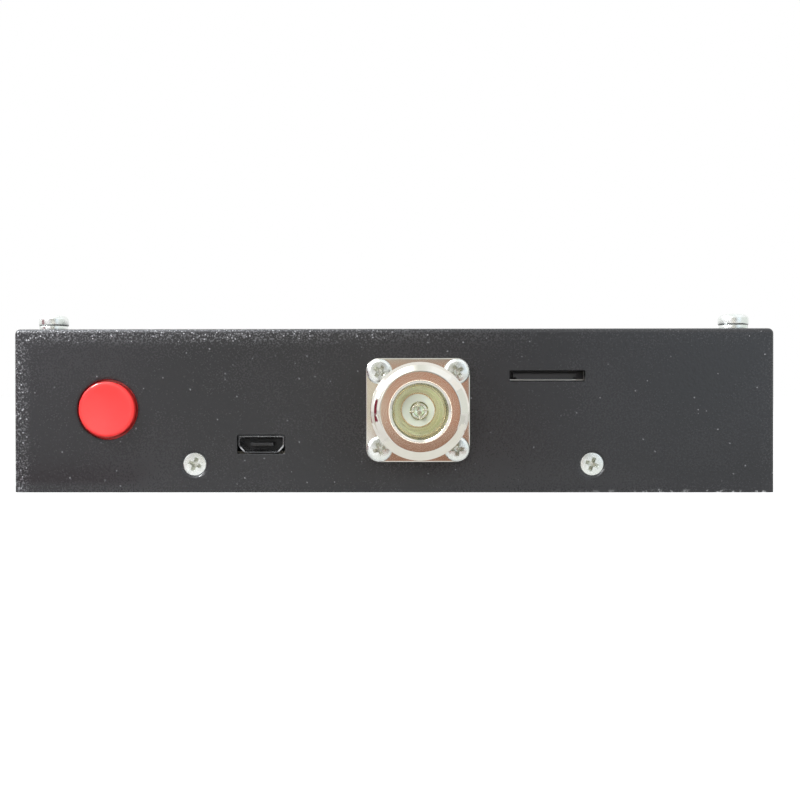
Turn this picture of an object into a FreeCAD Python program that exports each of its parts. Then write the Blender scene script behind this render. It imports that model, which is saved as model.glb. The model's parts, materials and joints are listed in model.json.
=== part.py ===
import FreeCAD, Part
import math
import os
from FreeCAD import Vector

# Antenna analyzer with a touch screen, in millimetres. It lies on its rear cover with the screen up.
# X runs along the connector side, -Y points out of the antenna connector and +Z out of the screen.
# The origin is the middle of the rear face.

# Case: a five-sided folded sheet shell, closed by a flat cover with four bent tabs
case_width = 130.0
case_depth = 88.0
case_height = 28.0
sheet = 1.2
bend_inside = 0.3
cover_gap = 0.2
tab_width = 14.0
tab_margin = 4.0  # from the cover screw's axis to the tab's free end
tab_corner = 2.0
relief_width = 1.2
relief_depth = 1.2
cover_screw_inset = 31.0  # from the case's side to the cover screw
cover_screw_z = 4.8

# Screen, from the front wall inwards
module_width = 105.5
module_depth = 67.2
window_lap_x = 3.75  # how far the front wall laps over the screen's ends
window_lap_y = 5.1
window_corner = 1.0
gasket_thickness = 0.5
gasket_margin = 0.6  # from the window's edge to the gasket
touch_thickness = 1.0
touch_corner = 0.5
bezel_sheet = 0.3
bezel_lip = 3.6
glass_thickness = 1.1
backlight_thickness = 1.2
glass_ledge = 3.0  # strip of glass that carries the ribbon, beyond the backlight
fit_gap = 0.1  # between the pieces inside the screen
tape_thickness = 0.2
tape_width = 8.0
tape_inset = 5.0
ribbon_width = 22.0
ribbon_thickness = 0.15
ribbon_bend = 0.6
ribbon_wrap = 0.8  # from the board's edge to the ribbon around it
ribbon_overlap = 1.8
ribbon_notch = 1.0
ribbon_socket_width = 26.0
ribbon_socket_depth = 5.0
ribbon_socket_height = 2.0
ribbon_socket_inset = 2.0
ribbon_grip = 2.0

# Boards
board_thickness = 1.6
board_side_gap = 1.3
board_end_gap = 2.3
board_corner = 2.0
rf_board_lift = 4.1  # above the rear cover
notch_gap = 0.8
notch_corner = 0.5

# M3 screws in the corners, with hexagonal sleeves above the main board and pillars below it
front_screw_inset_x = 5.0
front_screw_inset_y = 6.0
m3_radius = 1.5
m3_head_radius = 2.58
m3_head_height = 2.1
m3_crown = 1.3  # height of the head's straight side
m3_top_radius = 1.7
m3_length = 12.0
m3_short = 6.0
thread_gap = 0.03
hole_gap = 0.15
washer_thickness = 0.8
washer_width = 0.95
washer_split = 0.5
pillar_flats = 5.5

# M2.5 screws of the cover and the antenna connector
m25_radius = 1.25
cover_screw_length = 5.0
countersink_radius = 2.5
countersink_land = 0.15  # straight part of the hole under the countersink
cover_screw_sink = 0.3  # head below the case's face
seat_gap = 0.04

# Antenna connector, an N socket on a square flange
port_x = 4.2
port_z = 14.1
flange_size = 17.6
flange_thickness = 1.9
flange_screw_spacing = 13.0
flange_head_radius = 2.15
flange_head_height = 1.7
flange_crown = 1.0  # height of the head's straight side
flange_top_radius = 1.4
flange_screw_length = 7.0
port_reach = 12.05  # from the case's face to the rim
thread_radius = 7.94
rim_radius = 6.5
neck_radius = 6.9
neck_length = 2.3
mouth_radius = 4.9
mouth_chamfer = 0.45
entry_depth = 4.2
barrel_bore_radius = 4.02
barrel_bore_depth = 7.2
throat_radius = 3.5
seat_depth = 9.05
insulator_nose_radius = 2.75
insulator_nose_length = 1.5
insulator_radius = 3.6
insulator_reach = 2.1  # beyond the connector's rear end
spigot_radius = 5.5
spigot_length = 2.4
panel_hole_gap = 0.2
contact_radius = 1.52
contact_tip_depth = 4.0  # from the rim to the contact's tip
contact_bore_radius = 0.85
contact_bore_depth = 4.6
contact_slot = 0.36
contact_slot_depth = 4.3
contact_waist_radius = 1.2
contact_lead = 0.18  # bevel at the contact's tip
cup_radius = 1.3
cup_bore_radius = 0.8
cup_length = 4.0
cup_bore_depth = 2.8
link_radius = 0.5
nut_flats = 5.0
nut_height = 2.0

# Power button: a round cap on a small latching switch that stands on its own board
button_inset = 16.1  # from the case's left side
button_rise = 7.3  # above the lower board
cap_radius = 5.0
cap_proud = 1.1
cap_hole_gap = 0.2
cap_round = 0.45
dish_radius = 4.3
dish_depth = 0.2
collar_width = 0.8
collar_thickness = 0.8
collar_gap = 0.4
skirt_length = 1.0
skirt_inset = 0.4  # from the cap's side to the skirt's
skirt_wall = 0.7
cap_wall = 1.4
stem_width = 3.0
stem_socket_wall = 0.9
stem_grip = 3.0
press_gap = 0.02
slide_gap = 0.08
button_travel = 1.8
travel_spare = 0.4
switch_size = 7.0
switch_corner = 0.4
switch_length = 6.6
switch_face = 1.1
head_width = 4.4
head_thickness = 1.0
cavity_gap = 0.2
spring_radius = 1.5
spring_wire = 0.3  # side of the square wire
spring_turns = 4
spring_steps = 16  # straight pieces in each turn
switch_board_width = 14.0
switch_board_top_gap = 0.4
pin_width = 0.6
pin_pitch = 2.54
pin_count = 3
pin_hole_radius = 0.5
pin_tail = 1.0
bar_size = 2.5
bar_lift = 1.0

# USB socket on the lower board
usb_inset = 42.4  # from the case's left side
usb_width = 7.5
usb_height = 2.6
usb_chamfer = 1.05
usb_sheet = 0.25
usb_length = 5.6
usb_sink = 0.7  # rim below the case's face
usb_flare = 0.2
usb_flare_length = 0.6
usb_hole_gap = 0.15
usb_hole_corner = 0.35
usb_core_length = 1.6
usb_tongue_width = 3.9
usb_tongue_thickness = 0.55
usb_tongue_length = 3.2
usb_tongue_drop = 1.1  # from the shell's inside to the tongue's middle
usb_contact_count = 5
usb_contact_pitch = 0.65
usb_contact_width = 0.35
usb_contact_thickness = 0.12

# Memory card and its socket under the main board
card_x = 26.35
card_width = 11.0
card_length = 15.0
card_thickness = 0.7
card_neck_width = 9.7
card_neck_length = 8.6
card_corner = 0.6
card_grip_height = 0.25
card_grip_length = 1.4
card_sink = 3.0  # outer end below the case's face
card_gap = 0.06
card_push = 0.5
socket_floor = 0.55
socket_sheet = 0.2
socket_rail = 1.3
socket_back = 0.9
socket_reveal = 0.8  # length of card that stands out of its socket
slot_width = 12.9
slot_height = 1.85
slot_corner = 0.2

# Battery between the boards
battery_length = 50.0
battery_width = 34.0
battery_thickness = 10.0
battery_round = 3.0
battery_x = -10.0
battery_inset = 6.0  # from the board's rear edge
pad_thickness = 1.0
pad_margin = 3.0
pad_side_margin = 1.0  # beyond the cell's rounding
lead_radius = 0.6
lead_spacing = 2.0
lead_bend = 2.5
lead_drop = 2.5
battery_socket_x = 27.0
battery_socket_width = 7.8
battery_socket_length = 6.0
battery_socket_height = 5.0
battery_socket_wall = 0.7
plug_length = 5.0
plug_reveal = 1.5  # length of plug that stands out of its socket
plug_gap = 0.1

# Stacking connector between the boards
stack_inset = 17.5  # from the boards' right edge
stack_y = 0.0
stack_count = 8
stack_socket_height = 8.5
stack_socket_depth = 2.5
stack_pin_depth = 5.5
stack_hole_gap = 0.05

# Screening can and chips
can_width = 34.0
can_depth = 22.0
can_height = 6.0
can_sheet = 0.3
can_y = -20.0
can_corner = 1.0
can_hole_radius = 0.8
can_hole_columns = 3
can_hole_rows = 2
can_hole_pitch = 8.0
chip_height = 1.3
processor_size = 20.0
processor_x = -10.0
memory_length = 13.0
memory_width = 8.0
memory_gap = 2.5
mixer_size = 5.0
mixer_count = 3
mixer_pitch = 8.5
regulator_length = 5.0
regulator_width = 4.0
regulator_count = 2
power_pitch = 10.0  # from the board's edge to each power part behind the USB socket
inductor_size = 6.0
inductor_height = 3.0
inductor_corner = 1.2
oscillator_length = 7.0
oscillator_width = 5.0
oscillator_height = 1.8
oscillator_corner = 0.6
oscillator_gap = 3.5  # from the can

# Values that follow from those above
near = 0.001  # for picking edges by their place
x_axis = Vector(1, 0, 0)
y_axis = Vector(0, 1, 0)
z_axis = Vector(0, 0, 1)
face_y = -case_depth / 2
wall_y = face_y + sheet
inner_x = case_width / 2 - sheet
inner_y = case_depth / 2 - sheet
roof_z = case_height - sheet
window_width = module_width - 2 * window_lap_x
window_depth = module_depth - 2 * window_lap_y
module_thickness = bezel_sheet + glass_thickness + backlight_thickness
touch_top = roof_z - gasket_thickness
module_top = touch_top - touch_thickness
glass_low = module_top - bezel_sheet - glass_thickness
module_low = module_top - module_thickness
main_top = module_low - tape_thickness
main_low = main_top - board_thickness
rf_low = sheet + rf_board_lift
rf_top = rf_low + board_thickness
board_x = inner_x - board_side_gap
board_y = inner_y - board_end_gap
front_screw_x = case_width / 2 - front_screw_inset_x
front_screw_y = case_depth / 2 - front_screw_inset_y
cover_screw_x = case_width / 2 - cover_screw_inset
tab_y = inner_y - cover_gap
nut_corner = nut_flats / math.sqrt(3)
cover_screw_end = case_depth / 2 - cover_screw_sink - cover_screw_length
rim_y = face_y - port_reach
flange_y = face_y - flange_thickness
port_rear_y = face_y + spigot_length
insulator_rear_y = port_rear_y + insulator_reach
contact_rear_y = insulator_rear_y + cup_length
flange_screw_end = flange_y + flange_screw_length
button_x = -case_width / 2 + button_inset
button_z = rf_top + button_rise
cap_front = face_y - cap_proud
collar_y = wall_y + collar_gap
cap_rear = collar_y + collar_thickness + skirt_length
switch_front = cap_rear + button_travel + travel_spare
switch_rear = switch_front + switch_length
usb_x = -case_width / 2 + usb_inset
usb_z = rf_top + usb_height / 2
usb_front = face_y + usb_sink
card_front = face_y + card_sink
card_top = main_low - socket_floor
card_low = card_top - card_thickness
slot_z = (card_top + card_low - card_grip_height) / 2
socket_front = card_front + socket_reveal
socket_inner = card_front + card_length + card_push + card_gap
battery_y = board_y - battery_inset - battery_width / 2
stack_x = board_x - stack_inset
stack_low_z = rf_top + bar_size
stack_socket_z = main_low - stack_socket_height


def span(centre, size):
    return (centre - size / 2, centre + size / 2)


def block(xs, ys, zs, corner=0.0, along=z_axis):
    """A box between three pairs of limits, with the edges that run along one axis rounded."""
    shape = Part.makeBox(xs[1] - xs[0], ys[1] - ys[0], zs[1] - zs[0], Vector(xs[0], ys[0], zs[0]))
    if corner:
        edges = [edge for edge in shape.Edges if abs(edge.tangentAt(edge.FirstParameter).dot(along)) > near]
        shape = shape.makeFillet(corner, edges)
    return shape


def rod(radius, x, y, z, length, direction):
    return Part.makeCylinder(radius, length, Vector(x, y, z), direction)


def hexagon(flats, x, y, z, height, direction):
    """A hexagonal prism that starts at a point and runs along Y or Z."""
    corner = flats / math.sqrt(3)
    points = []
    for step in range(7):
        angle = math.radians(60 * step)
        if direction == z_axis:
            points.append(Vector(x + corner * math.cos(angle), y + corner * math.sin(angle), z))
        else:
            points.append(Vector(x + corner * math.cos(angle), y, z + corner * math.sin(angle)))
    return Part.Face(Part.makePolygon(points)).extrude(direction * height)


def turned(profile, x, z):
    """Revolve (radius, y) points about the line through x and z that runs along Y."""
    points = [Vector(x + radius, y, z) for radius, y in profile]
    face = Part.Face(Part.makePolygon(points + points[:1]))
    return face.revolve(Vector(x, 0, z), y_axis, 360)


def outline(points, thickness):
    """Extrude a closed outline of points upwards."""
    return Part.Face(Part.makePolygon(points + points[:1])).extrude(z_axis * thickness)


def bent_path(points, bend):
    """The edges of straight runs joined by tangent arcs."""
    edges = []
    start = points[0]
    for before, corner, after in zip(points, points[1:], points[2:]):
        back = (before - corner).normalize()
        ahead = (after - corner).normalize()
        half = back.getAngle(ahead) / 2
        reach = bend / math.tan(half)
        middle = (back + ahead).normalize() * (bend / math.sin(half) - bend)
        edges.append(Part.LineSegment(start, corner + back * reach).toShape())
        arc = Part.Arc(corner + back * reach, corner + middle, corner + ahead * reach)
        edges.append(arc.toShape())
        start = corner + ahead * reach
    edges.append(Part.LineSegment(start, points[-1]).toShape())
    return edges


def swept(edges, section):
    """A section's face carried along straight runs and arcs in turn."""
    pieces = []
    face = Part.Face(section)
    for edge in edges:
        start = edge.valueAt(edge.FirstParameter)
        end = edge.valueAt(edge.LastParameter)
        if isinstance(edge.Curve, Part.Line):
            pieces.append(face.extrude(end - start))
            face = face.translated(end - start)
        else:
            centre = edge.Curve.Center
            turn = math.degrees((start - centre).getAngle(end - centre))
            axis = (start - centre).cross(end - centre).normalize()
            pieces.append(face.revolve(centre, axis, turn))
            face = face.rotated(centre, axis, turn)
    return pieces[0].multiFuse(pieces[1:]).removeSplitter()


def corners(x, y):
    """The four places that mirror each other about the middle."""
    return [(side_x * x, side_y * y) for side_x in (-1, 1) for side_y in (-1, 1)]


def flange_places():
    half = flange_screw_spacing / 2
    return [(port_x + x, port_z + z) for x, z in corners(half, half)]


def both_ends(shape):
    """A shape on the connector side and its mirror image at the far end."""
    return [shape, shape.mirror(Vector(0, 0, 0), y_axis)]


def row(count, pitch):
    return [(index - (count - 1) / 2) * pitch for index in range(count)]


def folded_box(half_x, half_y, top, radius, bottom):
    """A block whose upright and top edges are rounded like a folded sheet."""
    shape = Part.makeBox(2 * half_x, 2 * half_y, top - bottom, Vector(-half_x, -half_y, bottom))
    edges = [edge for edge in shape.Edges if edge.BoundBox.ZMax > top - near]
    return shape.makeFillet(radius, edges)


def cover_holes():
    """Two countersunk holes through the connector wall, wide ends outwards."""
    depth = sheet - countersink_land
    radius = m25_radius + hole_gap
    profile = [
        (0, face_y), (countersink_radius, face_y), (radius, face_y + depth), (radius, wall_y), (0, wall_y),
    ]
    hole = turned(profile, 0, cover_screw_z)
    return [hole.translated(Vector(x, 0, 0)) for x in (-cover_screw_x, cover_screw_x)]


def front_shell():
    outside = folded_box(case_width / 2, case_depth / 2, case_height, bend_inside + sheet, 0)
    inside = folded_box(inner_x, inner_y, roof_z, bend_inside, -sheet)
    openings = [block(span(0, window_width), span(0, window_depth), (roof_z, case_height), window_corner)]
    for x, y in corners(front_screw_x, front_screw_y):
        openings.append(rod(m3_radius + hole_gap, x, y, roof_z, sheet, z_axis))
    for hole in cover_holes():
        openings.extend(both_ends(hole))
    wall = (face_y, wall_y)
    openings.append(rod(spigot_radius + panel_hole_gap, port_x, face_y, port_z, sheet, y_axis))
    for x, z in flange_places():
        openings.append(rod(m25_radius + hole_gap, x, face_y, z, sheet, y_axis))
    openings.append(rod(cap_radius + cap_hole_gap, button_x, face_y, button_z, sheet, y_axis))
    usb_wide = usb_width + 2 * (usb_flare + usb_hole_gap)
    usb_high = usb_height + 2 * (usb_flare + usb_hole_gap)
    openings.append(block(span(usb_x, usb_wide), wall, span(usb_z, usb_high), usb_hole_corner, y_axis))
    openings.append(block(span(card_x, slot_width), wall, span(slot_z, slot_height), slot_corner, y_axis))
    return outside.cut(inside).cut(Part.makeCompound(openings))


def cover_tab():
    """One tab on the connector side, bent up from the cover plate, with its screw hole."""
    inner_face = -tab_y + sheet
    root_y = inner_face + bend_inside
    free_end = cover_screw_z + tab_margin
    upright = block(span(0, tab_width), (-tab_y, inner_face), (0, free_end))
    foot = block(span(0, tab_width), (-tab_y, root_y + relief_depth), (0, sheet))
    tab = upright.fuse(foot).removeSplitter()
    for y, z, radius in ((-tab_y, 0, bend_inside + sheet), (inner_face, sheet, bend_inside)):
        edges = [edge for edge in tab.Edges if is_line_at(edge, y, z)]
        tab = tab.makeFillet(radius, edges)
    top_edges = [edge for edge in tab.Edges if edge.BoundBox.ZMin > free_end - near]
    tab = tab.makeFillet(tab_corner, [edge for edge in top_edges if edge.BoundBox.XLength < near])
    return tab.cut(rod(m25_radius + hole_gap, 0, -tab_y, cover_screw_z, sheet, y_axis))


def is_line_at(edge, y, z):
    """True for an edge along X at the given y and z."""
    box = edge.BoundBox
    return max(abs(box.YMin - y), abs(box.YMax - y), abs(box.ZMin - z), abs(box.ZMax - z)) < near


def rear_cover():
    half_x = inner_x - cover_gap
    plate = block((-half_x, half_x), (-tab_y, tab_y), (0, sheet), bend_inside + cover_gap)
    gaps = []
    tabs = []
    wide = tab_width + 2 * relief_width
    root = (-tab_y, -tab_y + sheet + bend_inside + relief_depth)
    for x in (-cover_screw_x, cover_screw_x):
        gaps.extend(both_ends(block(span(x, wide), root, (0, sheet))))
        tabs.extend(both_ends(cover_tab().translated(Vector(x, 0, 0))))
    return plate.cut(Part.makeCompound(gaps)).multiFuse(tabs).removeSplitter()


def m25_nut(x, y, z):
    """A hexagonal nut that stands on a wall at y and reaches inwards along Y."""
    nut = hexagon(nut_flats, x, y, z, nut_height, y_axis)
    return nut.cut(rod(m25_radius + thread_gap, x, y, z, nut_height, y_axis))


def cover_nuts():
    nuts = []
    for x in (-cover_screw_x, cover_screw_x):
        nuts.extend(both_ends(m25_nut(x, sheet - tab_y, cover_screw_z)))
    return Part.makeCompound(nuts)


def cover_screws():
    """Flat-head screws whose heads follow the countersinks."""
    top = face_y + cover_screw_sink
    slope = (countersink_radius - m25_radius - hole_gap) / (sheet - countersink_land)
    head_radius = countersink_radius - slope * cover_screw_sink - seat_gap
    head_height = (head_radius - m25_radius) / slope
    end = -cover_screw_end
    profile = [(0, top), (head_radius, top), (m25_radius, top + head_height), (m25_radius, end), (0, end)]
    screws = []
    for x in (-cover_screw_x, cover_screw_x):
        screws.extend(both_ends(turned(profile, x, cover_screw_z)))
    return Part.makeCompound(screws)


def display_gasket():
    sheet_block = block(span(0, module_width), span(0, module_depth), (touch_top, roof_z), window_corner)
    hole_x = span(0, window_width + 2 * gasket_margin)
    hole_y = span(0, window_depth + 2 * gasket_margin)
    return sheet_block.cut(block(hole_x, hole_y, (touch_top, roof_z), window_corner))


def touch_panel():
    return block(span(0, module_width), span(0, module_depth), (module_top, touch_top), touch_corner)


def display_bezel():
    """A thin steel tray, open at the back, with a lip round the picture and a notch for the ribbon."""
    tray = block(span(0, module_width), span(0, module_depth), (module_low, module_top))
    inside_x = span(0, module_width - 2 * bezel_sheet)
    inside_y = span(0, module_depth - 2 * bezel_sheet)
    tray = tray.cut(block(inside_x, inside_y, (module_low, module_top - bezel_sheet)))
    lip_x = span(0, module_width - 2 * bezel_lip)
    lip_y = span(0, module_depth - 2 * bezel_lip)
    tray = tray.cut(block(lip_x, lip_y, (module_low, module_top)))
    edge = module_depth / 2
    notch_x = span(0, ribbon_width + 2 * ribbon_notch)
    return tray.cut(block(notch_x, (edge - bezel_sheet, edge), (module_low, glass_low)))


def inside_bezel(ledge, low, high):
    half_x = module_width / 2 - bezel_sheet - fit_gap
    half_y = module_depth / 2 - bezel_sheet - fit_gap
    return block((-half_x, half_x), (-half_y, half_y - ledge), (low, high))


def display_glass():
    return inside_bezel(0, glass_low, glass_low + glass_thickness)


def backlight_panel():
    return inside_bezel(glass_ledge, module_low, glass_low)


def display_tape():
    """Two strips that hold the screen to the main board."""
    strips = []
    for side in (-1, 1):
        centre = side * (module_width / 2 - tape_inset - tape_width / 2)
        long_y = span(0, module_depth - 2 * tape_inset)
        strips.append(block(span(centre, tape_width), long_y, (main_top, module_low)))
    return Part.makeCompound(strips)


def display_ribbon():
    """A flat cable from the glass, round the main board's edge, to the socket beneath it."""
    high = glass_low - ribbon_thickness / 2
    low = main_low - ribbon_socket_height / 2
    far = board_y + ribbon_wrap
    socket_rear = board_y - ribbon_socket_inset
    points = [
        Vector(0, module_depth / 2 - ribbon_overlap, high),
        Vector(0, far, high),
        Vector(0, far, low),
        Vector(0, socket_rear - ribbon_grip, low),
    ]
    section = Part.makePolygon([
        points[0] + Vector(x * ribbon_width / 2, 0, z * ribbon_thickness / 2)
        for x, z in ((-1, -1), (1, -1), (1, 1), (-1, 1), (-1, -1))
    ])
    return swept(bent_path(points, ribbon_bend), section)


def ribbon_socket():
    rear = board_y - ribbon_socket_inset
    ys = (rear - ribbon_socket_depth, rear)
    body = block(span(0, ribbon_socket_width), ys, (main_low - ribbon_socket_height, main_low))
    slot_x = span(0, ribbon_width + 2 * fit_gap)
    slot_z_limits = span(main_low - ribbon_socket_height / 2, ribbon_thickness + 2 * fit_gap)
    return body.cut(block(slot_x, (rear - ribbon_grip - fit_gap, rear), slot_z_limits))


def board_blank(low, screw_radius):
    board = block((-board_x, board_x), (-board_y, board_y), (low, low + board_thickness), board_corner)
    for x, y in corners(front_screw_x, front_screw_y):
        board = board.cut(rod(screw_radius, x, y, low, board_thickness, z_axis))
    return board


def edge_notch(x, width, reach, low):
    """A cutout in a board's front edge that reaches back to a given y."""
    ys = (-board_y - 2 * notch_corner, reach)
    return block(span(x, width), ys, (low, low + board_thickness), notch_corner)


def main_board():
    board = board_blank(main_low, m3_radius + hole_gap)
    port_wide = flange_screw_spacing + 2 * nut_corner + 2 * notch_gap
    cap_wide = 2 * (cap_radius + collar_width + notch_gap)
    board = board.cut(edge_notch(port_x, port_wide, flange_screw_end + notch_gap, main_low))
    return board.cut(edge_notch(button_x, cap_wide, cap_rear + button_travel + notch_gap, main_low))


def rf_board():
    board = board_blank(rf_low, m3_radius + hole_gap)
    port_wide = flange_screw_spacing + 2 * nut_corner + 2 * notch_gap
    board = board.cut(edge_notch(port_x, port_wide, flange_screw_end + notch_gap, rf_low))
    for x in (-cover_screw_x, cover_screw_x):
        reach = -cover_screw_end + notch_gap
        notch = edge_notch(x, 2 * (nut_corner + notch_gap), reach, rf_low)
        board = board.cut(Part.makeCompound(both_ends(notch)))
    for offset in row(pin_count, pin_pitch):
        hole = rod(pin_hole_radius, button_x + offset, switch_pin_y(), rf_low, board_thickness, z_axis)
        board = board.cut(hole)
    return board


def m3_screw(length):
    """A pan-head screw along -Z whose head rests on the origin."""
    head = Part.makeCylinder(m3_head_radius, m3_crown)
    slope = Part.makeCone(m3_head_radius, m3_top_radius, m3_head_height - m3_crown, Vector(0, 0, m3_crown))
    shank = Part.makeCylinder(m3_radius, length, Vector(0, 0, -length))
    return head.multiFuse([slope, shank]).removeSplitter()


def front_screws():
    screw = m3_screw(m3_length)
    seat = case_height + washer_thickness
    places = corners(front_screw_x, front_screw_y)
    return Part.makeCompound([screw.translated(Vector(x, y, seat)) for x, y in places])


def front_spring_washers():
    """Split washers under the front screws."""
    washers = []
    bore = m3_radius + hole_gap
    for x, y in corners(front_screw_x, front_screw_y):
        ring = rod(bore + washer_width, x, y, case_height, washer_thickness, z_axis)
        ring = ring.cut(rod(bore, x, y, case_height, washer_thickness, z_axis))
        gap_x = (x, x + 2 * (bore + washer_width))
        split = block(gap_x, span(y, washer_split), (case_height, case_height + washer_thickness))
        split = split.rotated(Vector(x, y, case_height), z_axis, math.degrees(math.atan2(y, x)))
        washers.append(ring.cut(split))
    return Part.makeCompound(washers)


def hexagonal_posts(low, high, gap):
    """Brass hexagons with a bore, one on each corner screw."""
    posts = []
    for x, y in corners(front_screw_x, front_screw_y):
        post = hexagon(pillar_flats, x, y, low, high - low, z_axis)
        posts.append(post.cut(rod(m3_radius + gap, x, y, low, high - low, z_axis)))
    return Part.makeCompound(posts)


def front_sleeves():
    return hexagonal_posts(main_top, roof_z, hole_gap)


def board_pillars():
    return hexagonal_posts(rf_top, main_low, thread_gap)


def rf_board_screws():
    screw = m3_screw(m3_short).mirror(Vector(0, 0, 0), z_axis)
    places = corners(front_screw_x, front_screw_y)
    return Part.makeCompound([screw.translated(Vector(x, y, rf_low)) for x, y in places])


def antenna_connector_body():
    """Flange, neck, threaded barrel and stepped bore, turned and milled from one bar."""
    chamfer = thread_radius - rim_radius
    bore_entry = mouth_radius - mouth_chamfer
    nose_y = rim_y + seat_depth + insulator_nose_length
    body = turned([
        (insulator_radius, port_rear_y),
        (spigot_radius, port_rear_y),
        (spigot_radius, face_y),
        (neck_radius, face_y),
        (neck_radius, flange_y - neck_length),
        (thread_radius, flange_y - neck_length - (thread_radius - neck_radius) / 2),
        (thread_radius, rim_y + chamfer),
        (rim_radius, rim_y),
        (mouth_radius, rim_y),
        (bore_entry, rim_y + mouth_chamfer),
        (bore_entry, rim_y + entry_depth - (bore_entry - barrel_bore_radius)),
        (barrel_bore_radius, rim_y + entry_depth),
        (barrel_bore_radius, rim_y + barrel_bore_depth),
        (throat_radius, rim_y + barrel_bore_depth),
        (throat_radius, rim_y + seat_depth),
        (insulator_nose_radius, rim_y + seat_depth),
        (insulator_nose_radius, nose_y),
        (insulator_radius, nose_y),
    ], port_x, port_z)
    corner = (flange_size - flange_screw_spacing) / 2
    flange = block(span(port_x, flange_size), (flange_y, face_y), span(port_z, flange_size), corner, y_axis)
    flange = flange.cut(rod(spigot_radius, port_x, flange_y, port_z, flange_thickness, y_axis))
    for x, z in flange_places():
        flange = flange.cut(rod(m25_radius + hole_gap, x, flange_y, z, flange_thickness, y_axis))
    return body.fuse(flange).removeSplitter()


def connector_insulator():
    seat_y = rim_y + seat_depth
    nose_y = seat_y + insulator_nose_length
    nose = insulator_nose_radius - press_gap
    main = insulator_radius - press_gap
    hole = contact_waist_radius + press_gap
    return turned([
        (hole, seat_y), (nose, seat_y), (nose, nose_y + press_gap), (main, nose_y + press_gap),
        (main, insulator_rear_y), (hole, insulator_rear_y),
    ], port_x, port_z)


def connector_contact():
    """A slotted socket in front of the insulator and a solder cup behind it."""
    tip_y = rim_y + contact_tip_depth
    seat_y = rim_y + seat_depth - press_gap
    back_y = insulator_rear_y + press_gap
    pin = turned([
        (0, tip_y), (contact_radius - contact_lead, tip_y),
        (contact_radius, tip_y + 2 * contact_lead), (contact_radius, seat_y),
        (contact_waist_radius, seat_y), (contact_waist_radius, back_y), (cup_radius, back_y),
        (cup_radius, contact_rear_y), (0, contact_rear_y),
    ], port_x, port_z)
    pin = pin.cut(rod(contact_bore_radius, port_x, tip_y, port_z, contact_bore_depth, y_axis))
    wide = 2 * (contact_radius + contact_slot)
    depth = (tip_y, tip_y + contact_slot_depth)
    pin = pin.cut(block(span(port_x, wide), depth, span(port_z, contact_slot)))
    pin = pin.cut(block(span(port_x, contact_slot), depth, span(port_z, wide)))
    cup_y = contact_rear_y - cup_bore_depth
    pin = pin.cut(rod(cup_bore_radius, port_x, cup_y, port_z, cup_bore_depth, y_axis))
    window_ys = (cup_y + cup_bore_radius, contact_rear_y)
    return pin.cut(block(span(port_x, wide), window_ys, (port_z, port_z + wide)))


def connector_link():
    """A stiff wire from the solder cup down to the lower board."""
    y = contact_rear_y - cup_bore_depth / 2
    return rod(link_radius, port_x, y, rf_top, port_z - cup_radius - rf_top, z_axis)


def connector_screws():
    """Pan-head screws through the flange and the case's wall."""
    top = flange_y - flange_head_height
    profile = [
        (0, top), (flange_top_radius, top), (flange_head_radius, flange_y - flange_crown),
        (flange_head_radius, flange_y), (m25_radius, flange_y), (m25_radius, flange_screw_end),
        (0, flange_screw_end),
    ]
    return Part.makeCompound([turned(profile, x, z) for x, z in flange_places()])


def connector_nuts():
    return Part.makeCompound([m25_nut(x, wall_y, z) for x, z in flange_places()])


def button_cap():
    """A dished round cap with a collar behind the wall, hollow round the stem's socket."""
    collar_radius = cap_radius + collar_width
    collar_rear = collar_y + collar_thickness
    skirt_radius = cap_radius - skirt_inset
    inside = skirt_radius - skirt_wall
    roof = cap_front + cap_wall
    cap = turned([
        (0, cap_front), (cap_radius, cap_front), (cap_radius, collar_y), (collar_radius, collar_y),
        (collar_radius, collar_rear), (skirt_radius, collar_rear), (skirt_radius, cap_rear),
        (inside, cap_rear), (inside, roof), (0, roof),
    ], button_x, button_z)
    rim = [edge for edge in cap.Edges if edge.BoundBox.YMax < cap_front + near]
    cap = cap.makeFillet(cap_round, rim)
    ball = (dish_radius ** 2 + dish_depth ** 2) / (2 * dish_depth)
    dish = Part.makeSphere(ball, Vector(button_x, cap_front + dish_depth - ball, button_z))
    cap = cap.cut(dish)
    boss = block(
        span(button_x, stem_width + 2 * stem_socket_wall), (roof, cap_rear),
        span(button_z, stem_width + 2 * stem_socket_wall),
    )
    cap = cap.fuse(boss).removeSplitter()
    socket = stem_width + 2 * press_gap
    depth = (cap_rear - stem_grip, cap_rear)
    return cap.cut(block(span(button_x, socket), depth, span(button_z, socket)))


def plunger_head_y():
    return switch_front + switch_face + slide_gap


def switch_plunger():
    head = plunger_head_y()
    stem_ys = (cap_rear - stem_grip + press_gap, head + head_thickness)
    stem = block(span(button_x, stem_width), stem_ys, span(button_z, stem_width))
    head_ys = (head, head + head_thickness)
    plunger = block(span(button_x, head_width), head_ys, span(button_z, head_width))
    return stem.fuse(plunger).removeSplitter()


def switch_body():
    """A square housing with a guide hole in front and a cavity for the plunger's head and spring."""
    size = switch_size
    ys = (switch_front, switch_rear)
    body = block(span(button_x, size), ys, span(button_z, size), switch_corner, y_axis)
    hole = stem_width + 2 * slide_gap
    body = body.cut(block(span(button_x, hole), ys, span(button_z, hole)))
    cavity = head_width + 2 * cavity_gap
    cavity_ys = (switch_front + switch_face, switch_rear)
    return body.cut(block(span(button_x, cavity), cavity_ys, span(button_z, cavity)))


def spring_section(turns, y):
    """The square end of the spring's wire after some turns of the coil."""
    angle = 2 * math.pi * turns
    outwards = Vector(math.cos(angle), 0, math.sin(angle))
    centre = Vector(button_x, y, button_z) + outwards * spring_radius
    half = spring_wire / 2
    points = [centre + outwards * (side * half) + y_axis * (end * half) for side, end in corners(1, 1)]
    return Part.makePolygon([points[0], points[1], points[3], points[2], points[0]])


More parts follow.
